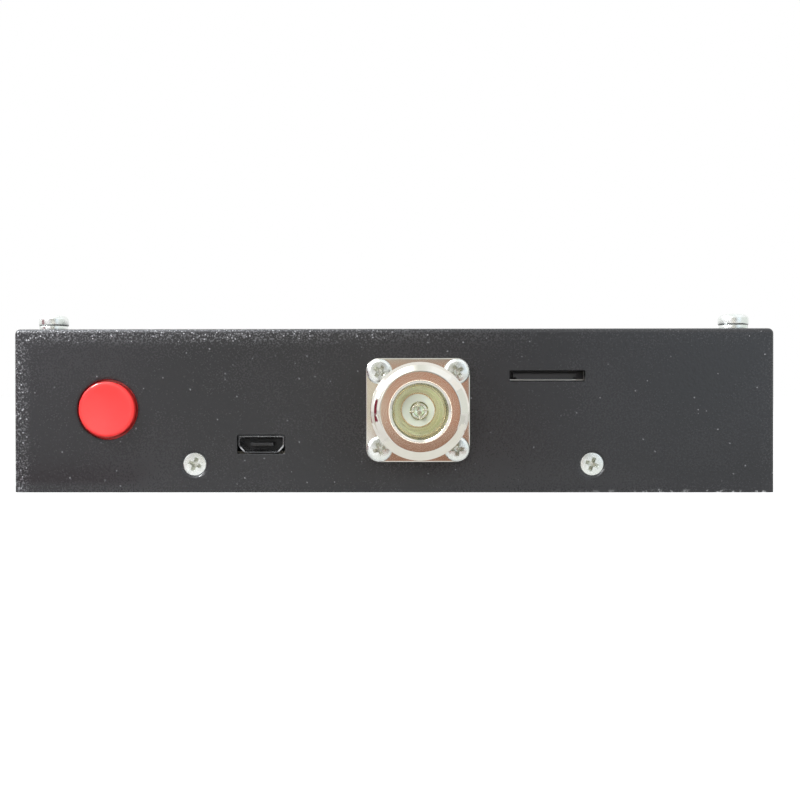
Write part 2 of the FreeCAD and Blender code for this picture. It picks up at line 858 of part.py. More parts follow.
def switch_spring():
    """A coil spring between the plunger's head and the switch board."""
    start = plunger_head_y() + head_thickness + slide_gap + spring_wire / 2
    end = switch_rear - slide_gap - spring_wire / 2
    steps = spring_turns * spring_steps
    pitch = (end - start) / steps
    sections = [spring_section(step / spring_steps, start + step * pitch) for step in range(steps + 1)]
    return Part.makeLoft(sections, True, True)


def switch_board():
    top = main_low - switch_board_top_gap
    ys = (switch_rear, switch_rear + board_thickness)
    board = block(span(button_x, switch_board_width), ys, (rf_top, top))
    for offset in row(pin_count, pin_pitch):
        hole = rod(pin_hole_radius, button_x + offset, switch_rear, switch_pin_z(), board_thickness, y_axis)
        board = board.cut(hole)
    return board


def switch_pin_z():
    return rf_top + bar_lift + bar_size / 2


def switch_pin_y():
    return switch_rear + board_thickness + bar_size + pin_width


def switch_pins():
    """Right-angled pins that join the switch board to the lower board."""
    pins = []
    half = pin_width / 2
    for offset in row(pin_count, pin_pitch):
        xs = span(button_x + offset, pin_width)
        level = block(xs, (switch_rear - half, switch_pin_y() + half), span(switch_pin_z(), pin_width))
        upright_zs = (rf_low - pin_tail, switch_pin_z() + half)
        upright = block(xs, span(switch_pin_y(), pin_width), upright_zs)
        pins.append(level.fuse(upright).removeSplitter())
    return Part.makeCompound(pins)


def switch_pin_bar():
    ys = (switch_rear + board_thickness, switch_rear + board_thickness + bar_size)
    bar = block(span(button_x, pin_count * pin_pitch), ys, span(switch_pin_z(), bar_size))
    for offset in row(pin_count, pin_pitch):
        hole = pin_width + 2 * press_gap
        bar = bar.cut(block(span(button_x + offset, hole), ys, span(switch_pin_z(), hole)))
    return bar


def usb_outline(y, grow):
    """The socket's outline at one depth: square corners above, cut corners below.

    The cuts grow with the outline so that the sheet is equally thick all round.
    """
    half = usb_width / 2 + grow
    top = usb_z + usb_height / 2 + grow
    low = usb_z - usb_height / 2 - grow
    cut = usb_chamfer + grow * (2 - math.sqrt(2))
    points = [
        Vector(usb_x - half, y, top), Vector(usb_x - half, y, low + cut), Vector(usb_x - half + cut, y, low),
        Vector(usb_x + half - cut, y, low), Vector(usb_x + half, y, low + cut), Vector(usb_x + half, y, top),
    ]
    return Part.makePolygon(points + points[:1])


def usb_tunnel(grow):
    straight_y = usb_front + usb_flare_length
    rear_y = usb_front + usb_length
    flare = Part.makeLoft([usb_outline(usb_front, grow + usb_flare), usb_outline(straight_y, grow)], True)
    straight = Part.Face(usb_outline(straight_y, grow)).extrude(y_axis * (rear_y - straight_y))
    return flare.fuse(straight)


def usb_socket_shell():
    return usb_tunnel(0).cut(usb_tunnel(-usb_sheet)).removeSplitter()


def usb_socket_core():
    """The moulded block at the back of the socket, with its tongue and a groove for each contact."""
    rear_y = usb_front + usb_length
    front_y = rear_y - usb_core_length
    core = Part.Face(usb_outline(front_y, -usb_sheet - press_gap)).extrude(y_axis * usb_core_length)
    tongue_ys = (front_y - usb_tongue_length, front_y)
    tongue = block(span(usb_x, usb_tongue_width), tongue_ys, span(usb_tongue_z(), usb_tongue_thickness))
    core = core.fuse(tongue).removeSplitter()
    for offset in row(usb_contact_count, usb_contact_pitch):
        wide = usb_contact_width + 2 * press_gap
        groove = block(span(usb_x + offset, wide), tongue_ys, usb_contact_zs(press_gap))
        core = core.cut(groove)
    return core


def usb_tongue_z():
    return usb_z + usb_height / 2 - usb_sheet - usb_tongue_drop


def usb_contact_zs(gap):
    low = usb_tongue_z() - usb_tongue_thickness / 2
    return (low, low + usb_contact_thickness + gap)


def usb_contacts():
    front_y = usb_front + usb_length - usb_core_length
    ys = (front_y - usb_tongue_length + fit_gap, front_y - press_gap)
    contacts = []
    for offset in row(usb_contact_count, usb_contact_pitch):
        contacts.append(block(span(usb_x + offset, usb_contact_width), ys, usb_contact_zs(0)))
    return Part.makeCompound(contacts)


def card_socket_base():
    """The moulded floor of the card socket, with side rails and a back wall."""
    half = card_width / 2 + card_gap + socket_rail
    rail_low = card_low - card_grip_height - card_gap
    rear = socket_inner + socket_back
    base = block(span(card_x, 2 * half), (socket_front, rear), (rail_low, main_low))
    channel_x = span(card_x, card_width + 2 * card_gap)
    channel = block(channel_x, (socket_front, socket_inner), (rail_low, card_top + card_gap))
    return base.cut(channel)


def card_socket_cover():
    """A bent steel cover round the base's sides and underside."""
    half = card_width / 2 + card_gap + socket_rail + press_gap
    low = card_low - card_grip_height - card_gap - press_gap
    ys = (socket_front, socket_inner + socket_back)
    outside = block(span(card_x, 2 * (half + socket_sheet)), ys, (low - socket_sheet, main_low))
    return outside.cut(block(span(card_x, 2 * half), ys, (low, main_low)))


def memory_card():
    """A thin card with a narrower contact end, one side notch and a ridge for the fingernail."""
    left = card_x - card_width / 2
    right = card_x + card_width / 2
    neck = left + card_neck_width
    rear = card_front + card_length
    step = rear - card_neck_length
    slope = right - neck
    points = [
        Vector(left, card_front, card_low), Vector(right, card_front, card_low),
        Vector(right, step - slope, card_low), Vector(neck, step, card_low),
        Vector(neck, rear - card_corner, card_low), Vector(neck - card_corner, rear, card_low),
        Vector(left + card_corner, rear, card_low), Vector(left, rear - card_corner, card_low),
    ]
    card = outline(points, card_thickness)
    ridge_ys = (card_front, card_front + card_grip_length)
    ridge_zs = (card_low - card_grip_height, card_low)
    ridge = block((left + card_corner, right - card_corner), ridge_ys, ridge_zs)
    return card.fuse(ridge).removeSplitter()


def battery_cell():
    ys = span(battery_y, battery_width)
    low = rf_top + pad_thickness
    return block(span(battery_x, battery_length), ys, (low, low + battery_thickness), battery_round, x_axis)


def battery_pad():
    xs = span(battery_x, battery_length - 2 * pad_margin)
    flat = battery_width - 2 * (battery_round + pad_side_margin)
    return block(xs, span(battery_y, flat), (rf_top, rf_top + pad_thickness))


def lead_z():
    return rf_top + battery_socket_height / 2


def lead_section(centre):
    """An eight-sided ring across X, plain enough for a wire."""
    points = []
    for side in range(9):
        angle = math.radians(45 * side)
        points.append(centre + Vector(0, lead_radius * math.cos(angle), lead_radius * math.sin(angle)))
    return Part.makePolygon(points)


def battery_leads():
    """Two insulated wires from the cell's end to the plug."""
    start_x = battery_x + battery_length / 2
    top = lead_z() + lead_drop
    plug_x = battery_socket_x - battery_socket_length / 2 - plug_reveal
    bend_x = (start_x + plug_x) / 2
    leads = []
    for offset in row(2, lead_spacing):
        y = battery_y + offset
        points = [
            Vector(start_x, y, top), Vector(bend_x - lead_drop / 2, y, top),
            Vector(bend_x + lead_drop / 2, y, lead_z()), Vector(plug_x, y, lead_z()),
        ]
        leads.append(swept(bent_path(points, lead_bend), lead_section(points[0])))
    return Part.makeCompound(leads)


def battery_socket():
    """An open-ended moulded socket that the plug slides into."""
    xs = span(battery_socket_x, battery_socket_length)
    body = block(xs, span(battery_y, battery_socket_width), (rf_top, rf_top + battery_socket_height))
    wall = battery_socket_wall
    hole_x = (xs[0], xs[1] - wall)
    hole_y = span(battery_y, battery_socket_width - 2 * wall)
    return body.cut(block(hole_x, hole_y, (rf_top + wall, rf_top + battery_socket_height - wall)))


def battery_plug():
    wall = battery_socket_wall + plug_gap
    front = battery_socket_x - battery_socket_length / 2 - plug_reveal
    ys = span(battery_y, battery_socket_width - 2 * wall)
    zs = (rf_top + wall, rf_top + battery_socket_height - wall)
    return block((front, front + plug_length), ys, zs)


def stack_pins():
    """Long square pins from under the lower board up into the main board's socket."""
    top = stack_socket_z + stack_pin_depth
    pins = []
    for offset in row(stack_count, pin_pitch):
        y = stack_y + offset
        pins.append(block(span(stack_x, pin_width), span(y, pin_width), (rf_top, top)))
    return Part.makeCompound(pins)


def stack_bar():
    return holed_bar(rf_top, stack_low_z, press_gap)


def stack_socket():
    return holed_bar(stack_socket_z, main_low, stack_hole_gap)


def holed_bar(low, high, gap):
    """A moulded strip with a square hole for each stacking pin."""
    ys = span(stack_y, stack_count * pin_pitch)
    bar = block(span(stack_x, stack_socket_depth), ys, (low, high))
    for offset in row(stack_count, pin_pitch):
        hole = pin_width + 2 * gap
        depth = (low, min(high, stack_socket_z + stack_pin_depth + stack_hole_gap))
        bar = bar.cut(block(span(stack_x, hole), span(stack_y + offset, hole), depth))
    return bar


def screening_can():
    """A thin tin box over the radio circuit, with a grid of holes in its lid."""
    top = rf_top + can_height
    can = block(span(port_x, can_width), span(can_y, can_depth), (rf_top, top), can_corner)
    inside_x = span(port_x, can_width - 2 * can_sheet)
    inside_y = span(can_y, can_depth - 2 * can_sheet)
    can = can.cut(block(inside_x, inside_y, (rf_top, top - can_sheet), can_corner - can_sheet))
    for x in row(can_hole_columns, can_hole_pitch):
        for y in row(can_hole_rows, can_hole_pitch):
            can = can.cut(rod(can_hole_radius, port_x + x, can_y + y, top - can_sheet, can_sheet, z_axis))
    return can


def rf_board_chips():
    """Mixers under the can, and the charger and regulator behind the USB socket."""
    zs = (rf_top, rf_top + chip_height)
    chips = []
    for x in row(mixer_count, mixer_pitch):
        chips.append(block(span(port_x + x, mixer_size), span(can_y, mixer_size), zs))
    for step in range(regulator_count):
        chips.append(block(span(usb_x, regulator_length), span(power_part_y(step), regulator_width), zs))
    return Part.makeCompound(chips)


def power_part_y(step):
    return -board_y + (step + 1) * power_pitch


def power_inductor():
    y = power_part_y(regulator_count)
    zs = (rf_top, rf_top + inductor_height)
    return block(span(usb_x, inductor_size), span(y, inductor_size), zs, inductor_corner)


def reference_oscillator():
    x = port_x + can_width / 2 + oscillator_gap + oscillator_length / 2
    zs = (rf_top, rf_top + oscillator_height)
    return block(span(x, oscillator_length), span(can_y, oscillator_width), zs, oscillator_corner)


def main_board_chips():
    """Processor and two memories on the underside of the main board."""
    zs = (main_low - chip_height, main_low)
    chips = [block(span(processor_x, processor_size), span(can_y, processor_size), zs)]
    reach = processor_size / 2 + memory_gap + memory_width / 2
    for x in (processor_x - reach, processor_x + reach):
        chips.append(block(span(x, memory_width), span(can_y, memory_length), zs))
    return Part.makeCompound(chips)


sub_parts = [
    front_shell, rear_cover, cover_nuts, cover_screws,
    display_gasket, touch_panel, display_bezel, display_glass, backlight_panel, display_tape,
    display_ribbon, ribbon_socket,
    main_board, main_board_chips, rf_board, rf_board_chips, power_inductor, reference_oscillator,
    screening_can, stack_pins, stack_bar, stack_socket,
    front_screws, front_spring_washers, front_sleeves, board_pillars, rf_board_screws,
    antenna_connector_body, connector_insulator, connector_contact, connector_link, connector_screws,
    connector_nuts,
    button_cap, switch_plunger, switch_body, switch_spring, switch_board, switch_pins, switch_pin_bar,
    usb_socket_shell, usb_socket_core, usb_contacts,
    card_socket_base, card_socket_cover, memory_card,
    battery_cell, battery_pad, battery_leads, battery_plug, battery_socket,
]

os.makedirs("parts", exist_ok=True)
for make in sub_parts:
    shape = make()
    shape.exportStep("parts/" + make.__name__ + ".step")
    print(make.__name__, len(shape.Solids), "solids", round(shape.Volume, 2), "mm3, valid", shape.isValid())
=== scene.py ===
import bpy
import bmesh
import json
import math
from mathutils import Matrix, Vector


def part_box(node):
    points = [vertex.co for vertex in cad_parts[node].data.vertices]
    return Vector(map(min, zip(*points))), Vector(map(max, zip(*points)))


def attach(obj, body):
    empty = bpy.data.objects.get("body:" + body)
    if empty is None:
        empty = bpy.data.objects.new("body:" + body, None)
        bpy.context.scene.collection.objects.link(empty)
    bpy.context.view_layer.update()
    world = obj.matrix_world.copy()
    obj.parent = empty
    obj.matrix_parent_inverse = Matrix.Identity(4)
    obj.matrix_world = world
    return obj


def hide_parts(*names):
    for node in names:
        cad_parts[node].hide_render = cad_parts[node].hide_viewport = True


# A pocket antenna analyzer that lies on its rear cover. -Y is its connector side and Z is up.
mm = 0.001
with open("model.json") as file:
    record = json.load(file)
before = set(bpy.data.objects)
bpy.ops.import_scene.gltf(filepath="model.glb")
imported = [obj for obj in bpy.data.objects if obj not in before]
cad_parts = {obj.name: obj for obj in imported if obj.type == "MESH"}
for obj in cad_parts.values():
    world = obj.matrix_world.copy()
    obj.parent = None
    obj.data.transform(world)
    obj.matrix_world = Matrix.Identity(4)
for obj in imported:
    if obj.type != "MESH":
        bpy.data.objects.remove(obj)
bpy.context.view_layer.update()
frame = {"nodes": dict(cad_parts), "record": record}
nodes = frame["nodes"]


print("frame loaded with", len(nodes), "nodes")


# ---- camera, lamps and stage

view = {
    "place": (-0.002, -0.2148, 0.018),
    "yaw": 0.532, "pitch": -0.296, "roll": -0.064,  # degrees; left, up and anticlockwise are positive
    "lens": 45.0, "shiftX": 0.035, "shiftY": -0.0097, "nearest": 0.01,
}


def addCamera():
    data = bpy.data.cameras.new("camera")
    data.lens = view["lens"]
    data.sensor_fit = "HORIZONTAL"
    data.shift_x = view["shiftX"]
    data.shift_y = view["shiftY"]
    data.clip_start = view["nearest"]
    camera = bpy.data.objects.new("camera", data)
    turn = Matrix.Rotation(math.radians(view["yaw"]), 4, "Z")
    turn = turn @ Matrix.Rotation(math.radians(90 + view["pitch"]), 4, "X")
    turn = turn @ Matrix.Rotation(math.radians(view["roll"]), 4, "Z")
    camera.matrix_world = Matrix.Translation(view["place"]) @ turn
    bpy.context.scene.collection.objects.link(camera)
    bpy.context.scene.camera = camera


lampAim = (0, 0, 0.014)
lamps = {
    "key": {
        "place": (-0.125, -0.08, 0.11), "size": 0.03, "power": 0.2,
        "colour": (0.97, 0.985, 1.0), "mirrored": True,
    },
    "front": {
        "place": (-0.08, -0.5, 0.09), "size": 0.25, "power": 1.7,
        "colour": (1.0, 0.99, 0.97), "mirrored": True,
    },
    "fill": {
        "place": (0.5, -0.45, 0.3), "size": 0.5, "power": 4.6,
        "colour": (0.93, 0.97, 1.0), "mirrored": False,
    },
    "back": {
        "place": (0.1, 0.5, 0.45), "size": 0.5, "power": 1.6,
        "colour": (1.0, 1.0, 1.0), "mirrored": False,
    },
}
sky = {"colour": (1, 1, 1, 1), "seen": 1.0, "light": 0.5}


def addLamps():
    for name, lamp in lamps.items():
        data = bpy.data.lights.new(name, "AREA")
        data.size = lamp["size"]
        data.energy = lamp["power"]
        data.color = lamp["colour"]
        holder = bpy.data.objects.new(name, data)
        place = Vector(lamp["place"])
        aim = (Vector(lampAim) - place).to_track_quat("-Z", "Y")
        holder.matrix_world = Matrix.Translation(place) @ aim.to_matrix().to_4x4()
        holder.visible_camera = False
        holder.visible_glossy = lamp["mirrored"]
        bpy.context.scene.collection.objects.link(holder)


class Wire:  # one socket of a node tree; Python's operators add its Math nodes
    def __init__(self, tree, socket=None):
        self.tree = tree
        self.socket = socket

    def node(self, kind, settings=None, inputs=None, output=0):
        made = self.tree.nodes.new(kind)
        for name, value in (settings or {}).items():
            if name == "stops":
                self.setStops(made.color_ramp.elements, value)
            else:
                setattr(made, name, value)
        for name, value in (inputs or {}).items():
            if isinstance(value, Wire):
                self.tree.links.new(value.socket, made.inputs[name])
            else:
                made.inputs[name].default_value = value
        return Wire(self.tree, made.outputs[output] if made.outputs else None)

    def setStops(self, elements, stops):
        while len(elements) < len(stops):
            elements.new(1.0)
        for element, (position, colour) in zip(elements, stops):
            element.position = position
            element.color = colour

    def maths(self, operation, first, second):
        return self.node("ShaderNodeMath", {"operation": operation}, {0: first, 1: second})

    def __add__(self, other):
        return self.maths("ADD", self, other)

    def __radd__(self, other):
        return self.maths("ADD", other, self)

    def __sub__(self, other):
        return self.maths("SUBTRACT", self, other)

    def __rsub__(self, other):
        return self.maths("SUBTRACT", other, self)

    def __mul__(self, other):
        return self.maths("MULTIPLY", self, other)

    def __pow__(self, other):
        return self.maths("POWER", self, other)

    def __gt__(self, other):
        return self.maths("GREATER_THAN", self, other)

    def __lt__(self, other):
        return self.maths("LESS_THAN", self, other)

    def __abs__(self):
        return self.maths("ABSOLUTE", self, 0.0)


def addSky():
    world = bpy.data.worlds.new("sky")
    world.use_nodes = True
    world.node_tree.nodes.clear()
    start = Wire(world.node_tree)
    seen = start.node("ShaderNodeBackground", None, {"Color": sky["colour"], "Strength": sky["seen"]})
    light = start.node("ShaderNodeBackground", None, {"Color": sky["colour"], "Strength": sky["light"]})
    mixed = start.node("ShaderNodeMixShader", None, {0: directView(start), 1: light, 2: seen})
    start.node("ShaderNodeOutputWorld", None, {"Surface": mixed})
    bpy.context.scene.world = world


def directView(start):  # 1 for what the camera, a reflection or a glass sees
    camera = start.node("ShaderNodeLightPath", None, None, "Is Camera Ray")
    glossy = start.node("ShaderNodeLightPath", None, None, "Is Glossy Ray")
    through = start.node("ShaderNodeLightPath", None, None, "Is Transmission Ray")
    return start.maths("MAXIMUM", start.maths("MAXIMUM", camera, glossy), through)


stage = {
    "floorSize": 3.0, "floorColour": (0.3, 0.3, 0.3, 1), "floorSeen": 0.88, "floorMirrored": 0.42,
    "floorDrop": 0.00005, "thinnest": 0.00002,
}
cards = {  # what the metal reflects from round the part, each fading out at its edges
    "brownCard": {
        "from": (-0.0035, -0.3, -0.01), "to": (0.037, -0.3, 0.0285), "fade": 0.0015,
        "colour": (0.46, 0.225, 0.14, 1),
    },
    "paleStrip": {
        "from": (-0.017, -0.301, -0.01), "to": (-0.002, -0.301, 0.0285), "fade": 0.0015,
        "colour": (0.68, 0.65, 0.54, 1),
    },
    "paleSquare": {
        "from": (0.007, -0.295, 0.0015), "to": (0.0205, -0.295, 0.0155), "fade": 0.003,
        "colour": (2.8, 2.8, 2.6, 1),
    },
    "brownMat": {
        "from": (-0.0065, -0.3, 0.0008), "to": (0.034, -0.07, 0.0008), "fade": 0.004,
        "colour": (0.32, 0.17, 0.11, 1),
    },
    "paleMat": {
        "from": (-0.012, -0.066, 0.0009), "to": (0.05, -0.047, 0.0009), "fade": 0.004,
        "colour": (0.86, 0.87, 0.84, 1),
    },
    "leftMat": {
        "from": (-0.13, -0.16, 0.0007), "to": (-0.02, -0.07, 0.0007), "fade": 0.016,
        "colour": (0.68, 0.66, 0.62, 1),
    },
    "rightMat": {
        "from": (0.036, -0.16, 0.0007), "to": (0.13, -0.05, 0.0007), "fade": 0.01,
        "colour": (0.68, 0.7, 0.68, 1),
    },
    "redCard": {
        "from": (-0.12, -0.08, 0), "to": (-0.12, -0.045, 0.05), "fade": 0.008,
        "colour": (0.2, 0.012, 0.035, 1),
    },
    "redMat": {
        "from": (-0.13, -0.07, 0.001), "to": (-0.042, -0.045, 0.001), "fade": 0.008,
        "colour": (0.2, 0.012, 0.035, 1),
    },
    "sideSheet": {
        "from": (0.2, -0.2, -0.01), "to": (0.2, 0.03, 0.12), "fade": 0.02,
        "colour": (0.82, 0.86, 0.83, 1),
    },
    "paleSheet": {
        "from": (-0.36, -0.32, 0.06), "to": (-0.15, -0.32, 0.22), "fade": 0.03,
        "colour": (1.9, 1.9, 1.97, 1),
    },
    "wall": {
        "from": (-0.3, -0.33, -0.1), "to": (0.3, -0.33, 0.24), "fade": 0.08,
        "stops": [
            (0.2, (0.74, 0.68, 0.74, 1)), (0.34, (0.43, 0.42, 0.4, 1)), (0.48, (0.47, 0.46, 0.38, 1)),
            (0.59, (0.2, 0.2, 0.2, 1)), (0.68, (0.62, 0.67, 0.7, 1)), (0.8, (0.95, 1.08, 1.18, 1)),
        ],
    },
    "roof": {
        "from": (-0.45, -0.32, 0.4), "to": (0.45, 0.2, 0.4), "fade": 0.1,
        "stops": [
            (0.37, (3.8, 3.9, 4.1, 1)), (0.46, (1.2, 1.23, 1.2, 1)), (0.5, (0.85, 0.88, 0.84, 1)),
            (0.56, (0.9, 0.93, 0.9, 1)), (0.65, (1.1, 1.13, 1.16, 1)),
        ],
    },
    "window": {
        "from": (-0.32, -0.13, 0.11), "to": (-0.32, 0.0, 0.4), "fade": 0.03,
        "colour": (6.4, 6.7, 7.0, 1),
    },
}


def addPanel(name, low, high, material):
    panel = objectFrom(name, boxBetween(low, high, stage["thinnest"]), material)
    return panel


def addStage():
    floor, start = newMaterial("paleFloor")
    mirrored = start.node("ShaderNodeLightPath", None, None, "Is Glossy Ray")
    glow = directView(start) * stage["floorSeen"] - mirrored * (stage["floorSeen"] - stage["floorMirrored"])
    paint = start.node("ShaderNodeBsdfDiffuse", None, {"Color": stage["floorColour"]})
    shine = start.node("ShaderNodeEmission", None, {"Strength": glow})
    both = start.node("ShaderNodeAddShader", None, {0: paint, 1: shine})
    start.node("ShaderNodeOutputMaterial", None, {"Surface": both})
    half = stage["floorSize"] / 2
    drop = stage["floorDrop"]
    addPanel("floor", (-half, -half, -drop), (half, half, -drop), floor)
    for name, card in cards.items():
        panel = addPanel(name, card["from"], card["to"], fadingCard(name, card))
        panel.visible_camera = False
        panel.visible_diffuse = False
        panel.visible_shadow = False
        panel.visible_transmission = False
    print("stage ready with", len(cards), "cards")


def fadingCard(name, card):
    material, place = newFinish(name)
    full = None
    for axis, low, high in zip("XYZ", card["from"], card["to"]):
        if high > low:
            here = axisOf(place, axis)
            edges = step(here, low, low + card["fade"]) * step(here, high, high - card["fade"])
            full = full * edges if full else edges
    colour = card.get("colour")
    if "stops" in card:  # from the low end of X to the high end
        share = (axisOf(place, "X") - card["from"][0]) * (1 / (card["to"][0] - card["from"][0]))
        colour = place.node("ShaderNodeValToRGB", {"stops": card["stops"]}, {0: share})
    shine = place.node("ShaderNodeEmission", None, {"Color": colour})
    clear = place.node("ShaderNodeBsdfTransparent")
    mixed = place.node("ShaderNodeMixShader", None, {0: full, 1: clear, 2: shine})
    place.node("ShaderNodeOutputMaterial", None, {"Surface": mixed})
    return material


# ---- shader parts

def newMaterial(name):
    material = bpy.data.materials.new(name)
    material.use_nodes = True
    material.node_tree.nodes.clear()
    return material, Wire(material.node_tree)


def newFinish(name):
    material, start = newMaterial(name)
    return material, start.node("ShaderNodeTexCoord", None, None, "Object")


def finishWith(place, inputs):
    shader = place.node("ShaderNodeBsdfPrincipled", None, inputs)
    place.node("ShaderNodeOutputMaterial", None, {"Surface": shader})


def noise(place, scale, detail=3.0, roughness=0.55):
    inputs = {"Vector": place, "Scale": scale, "Detail": detail, "Roughness": roughness}
    return place.node("ShaderNodeTexNoise", None, inputs)


def cells(place, scale, feature="F1", metric="EUCLIDEAN", output=0):
    settings = {"feature": feature, "distance": metric}
    return place.node("ShaderNodeTexVoronoi", settings, {"Vector": place, "Scale": scale}, output)


def stretched(place, scale):
    return place.node("ShaderNodeMapping", None, {"Vector": place, "Scale": scale})


def axisOf(place, name):
    return place.node("ShaderNodeSeparateXYZ", None, {0: place}, name)


def blend(factor, first, second):  # two colours
    return factor.node("ShaderNodeMix", {"data_type": "RGBA"}, {0: factor, 6: first, 7: second}, 2)


def step(value, low, high):  # 0 below low, 1 above high
    inputs = {"Value": value, "From Min": low, "From Max": high}
    return value.node("ShaderNodeMapRange", {"interpolation_type": "SMOOTHSTEP"}, inputs)


def relief(height, depth, strength=1.0, under=None):
    inputs = {"Height": height, "Distance": depth, "Strength": strength}
    if under:
        inputs["Normal"] = under
    return height.node("ShaderNodeBump", None, inputs)


def apart(first, second):  # how far from where both are 0
    return (first * first + second * second) ** 0.5


def aroundAxis(place, centre):  # distance from a line along Y, and the place on it
    radius = apart(axisOf(place, "X") - centre[0], axisOf(place, "Z") - centre[1])
    return place.node("ShaderNodeCombineXYZ", None, {0: radius, 1: axisOf(place, "Y")})


# ---- finishes, one for each slot of the record

coat = {
    "black": (0.015, 0.015, 0.0165, 1), "worn": (0.02, 0.02, 0.022, 1), "wear": (0.42, 0.68),
    "roughness": 0.27, "uneven": 0.06, "cloud": 60.0, "grain": 3300.0, "pits": 1900.0,
    "grainHeight": 0.55, "pitHeight": 0.75, "depth": 0.035 * mm,
    "beads": 1500.0, "bead": 0.27, "beadHeight": 0.12 * mm, "beadGlintShown": (0.2, 0.7), "beadPolish": 0.15,
    "rare": 0.965, "often": 0.05,  # the random number above which a cell has a bead, on faces and at bends
    "outside": (65 * mm, 44 * mm, 28 * mm), "edge": (0.3 * mm, 4.2 * mm), "atBend": (1.1, 1.95),
    # beads, painted glints and painted sheen fade from the lit left end to the right end
    "beadsTowardsLight": (30 * mm, -30 * mm), "awayFromLightShare": 0.1,
    # painted highlights: pale glint colours for the beads, brighter at the bends
    "glintColour": (0.16, 0.16, 0.17, 1), "brightGlintColour": (0.36, 0.36, 0.38, 1),
    # painted sheen: how strongly the bends are lightened to glint colour
    "paintedSheen": 0.75, "paintedSheenFrom": (0.5, 0.64),
    "sinks": (34.0 * mm, 4.8 * mm), "sink": 2.75 * mm, "hole": (-48.9 * mm, 14.2 * mm), "holeRim": 5.5 * mm,
    "smoothEdge": 0.04 * mm,
    "chip": (0.3, 0.3, 0.3, 1), "chips": 1100.0, "chipped": (0.55, 0.6), "chipsBelow": (0.6 * mm, 0.1 * mm),
    "chipsTowards": (20 * mm, 60 * mm),
}


def smoothSpot(first, second, radius):
    return step(apart(first, second), radius + coat["smoothEdge"], radius - coat["smoothEdge"])


def powderCoat():  # beads gather near the bends, their colour holds painted highlights (pale glint specks) and the bends a painted sheen; the countersinks are smooth
    material, place = newFinish("powderCoat")
    fine = noise(place, coat["grain"], 3.0, 0.6)
    pits = cells(place, coat["pits"], "SMOOTH_F1")
    cloud = noise(place, coat["cloud"], 4.0)
    x, z = axisOf(place, "X"), axisOf(place, "Z")
    sides = 0.0
    for axis, outside in zip("XYZ", coat["outside"]):
        sides = step(abs(axisOf(place, axis)), outside - coat["edge"][1], outside - coat["edge"][0]) + sides
    # painted highlights: full share at the lit left end, a tenth at the right end
    thick = step(x, *coat["beadsTowardsLight"]) * (1 - coat["awayFromLightShare"]) + coat["awayFromLightShare"]
    bend = step(sides, *coat["atBend"]) * thick
    number = place.node("ShaderNodeSeparateColor", None, {0: cells(place, coat["beads"], output="Color")})
    picked = number > coat["rare"] - bend * bend * (coat["rare"] - coat["often"])
    reach = cells(place, coat["beads"]) * (1 / coat["bead"])
    bead = place.maths("MAXIMUM", 1 - reach * reach, 0.0) * picked
    sink = smoothSpot(abs(x) - coat["sinks"][0], z - coat["sinks"][1], coat["sink"])
    rim = smoothSpot(x - coat["hole"][0], z - coat["hole"][1], coat["holeRim"])
    kept = (1 - sink) * (1 - rim)
    chip = step(noise(place, coat["chips"], 3.0, 0.7), *coat["chipped"])
    chip = chip * step(z, *coat["chipsBelow"]) * step(x, *coat["chipsTowards"])
    paint = blend(step(fine * 0.6 + cloud * 0.4, *coat["wear"]), coat["black"], coat["worn"])
    # painted sheen: patches at the bends are lightened to glint colour
    paint = blend(step(fine, *coat["paintedSheenFrom"]) * bend * kept * coat["paintedSheen"], paint, coat["glintColour"])
    # painted highlights: bead cells are lightened to glint colour, paler at the bends
    glintColour = blend(bend, coat["glintColour"], coat["brightGlintColour"])
    paint = blend(step(bead, *coat["beadGlintShown"]) * kept, paint, glintColour)
    gloss = coat["roughness"] + (cloud - 0.5) * coat["uneven"] + (fine - 0.5) * coat["uneven"]
    skin = fine * coat["grainHeight"] + (1 - pits) * coat["pitHeight"]
    finishWith(place, {
        "Base Color": blend(chip, paint, coat["chip"]),
        "Roughness": gloss - bead * coat["beadPolish"],
        "Normal": relief(bead * kept, coat["beadHeight"], 1.0, relief(skin * kept, coat["depth"])),
    })
    return material


nickel = {
    "light": (0.86, 0.84, 0.79, 1), "warm": (0.78, 0.74, 0.66, 1), "inside": (0.95, 0.88, 0.64, 1),
    "silver": (0.92, 0.98, 0.87, 1), "roughness": 0.04, "haze": 420.0, "hazeDull": 0.06,
    "rings": 5200.0, "ringDull": 0.05, "ringDepth": 0.0006 * mm, "insideRings": 8,
    "insideDull": 0.12, "contactDull": 0.07,
    "centre": (4.2 * mm, 14.1 * mm), "mouth": 4.3 * mm, "mouthEdge": 0.1 * mm, "contact": 1.7 * mm,
}


def turnedNickel():  # a warmer, golden colour inside the mouth
    material, place = newFinish("turnedNickel")
    around = aroundAxis(place, nickel["centre"])
    radius = axisOf(around, "X")
    contact = radius < nickel["contact"]
    inside = step(radius, nickel["mouth"] + nickel["mouthEdge"], nickel["mouth"]) * (1 - contact)
    rings = noise(around, nickel["rings"], 2.0)
    haze = noise(place, nickel["haze"], 4.0)
    colour = blend(inside, blend(haze, nickel["light"], nickel["warm"]), nickel["inside"])
    dull = nickel["roughness"] + haze * nickel["hazeDull"] + rings * nickel["ringDull"]
    finishWith(place, {
        "Base Color": blend(contact, colour, nickel["silver"]),
        "Metallic": 1.0,
        "Roughness": dull + inside * nickel["insideDull"] + contact * nickel["contactDull"],
        "Normal": relief(rings * (inside * nickel["insideRings"] + 1), nickel["ringDepth"], 0.6),
    })
    return material


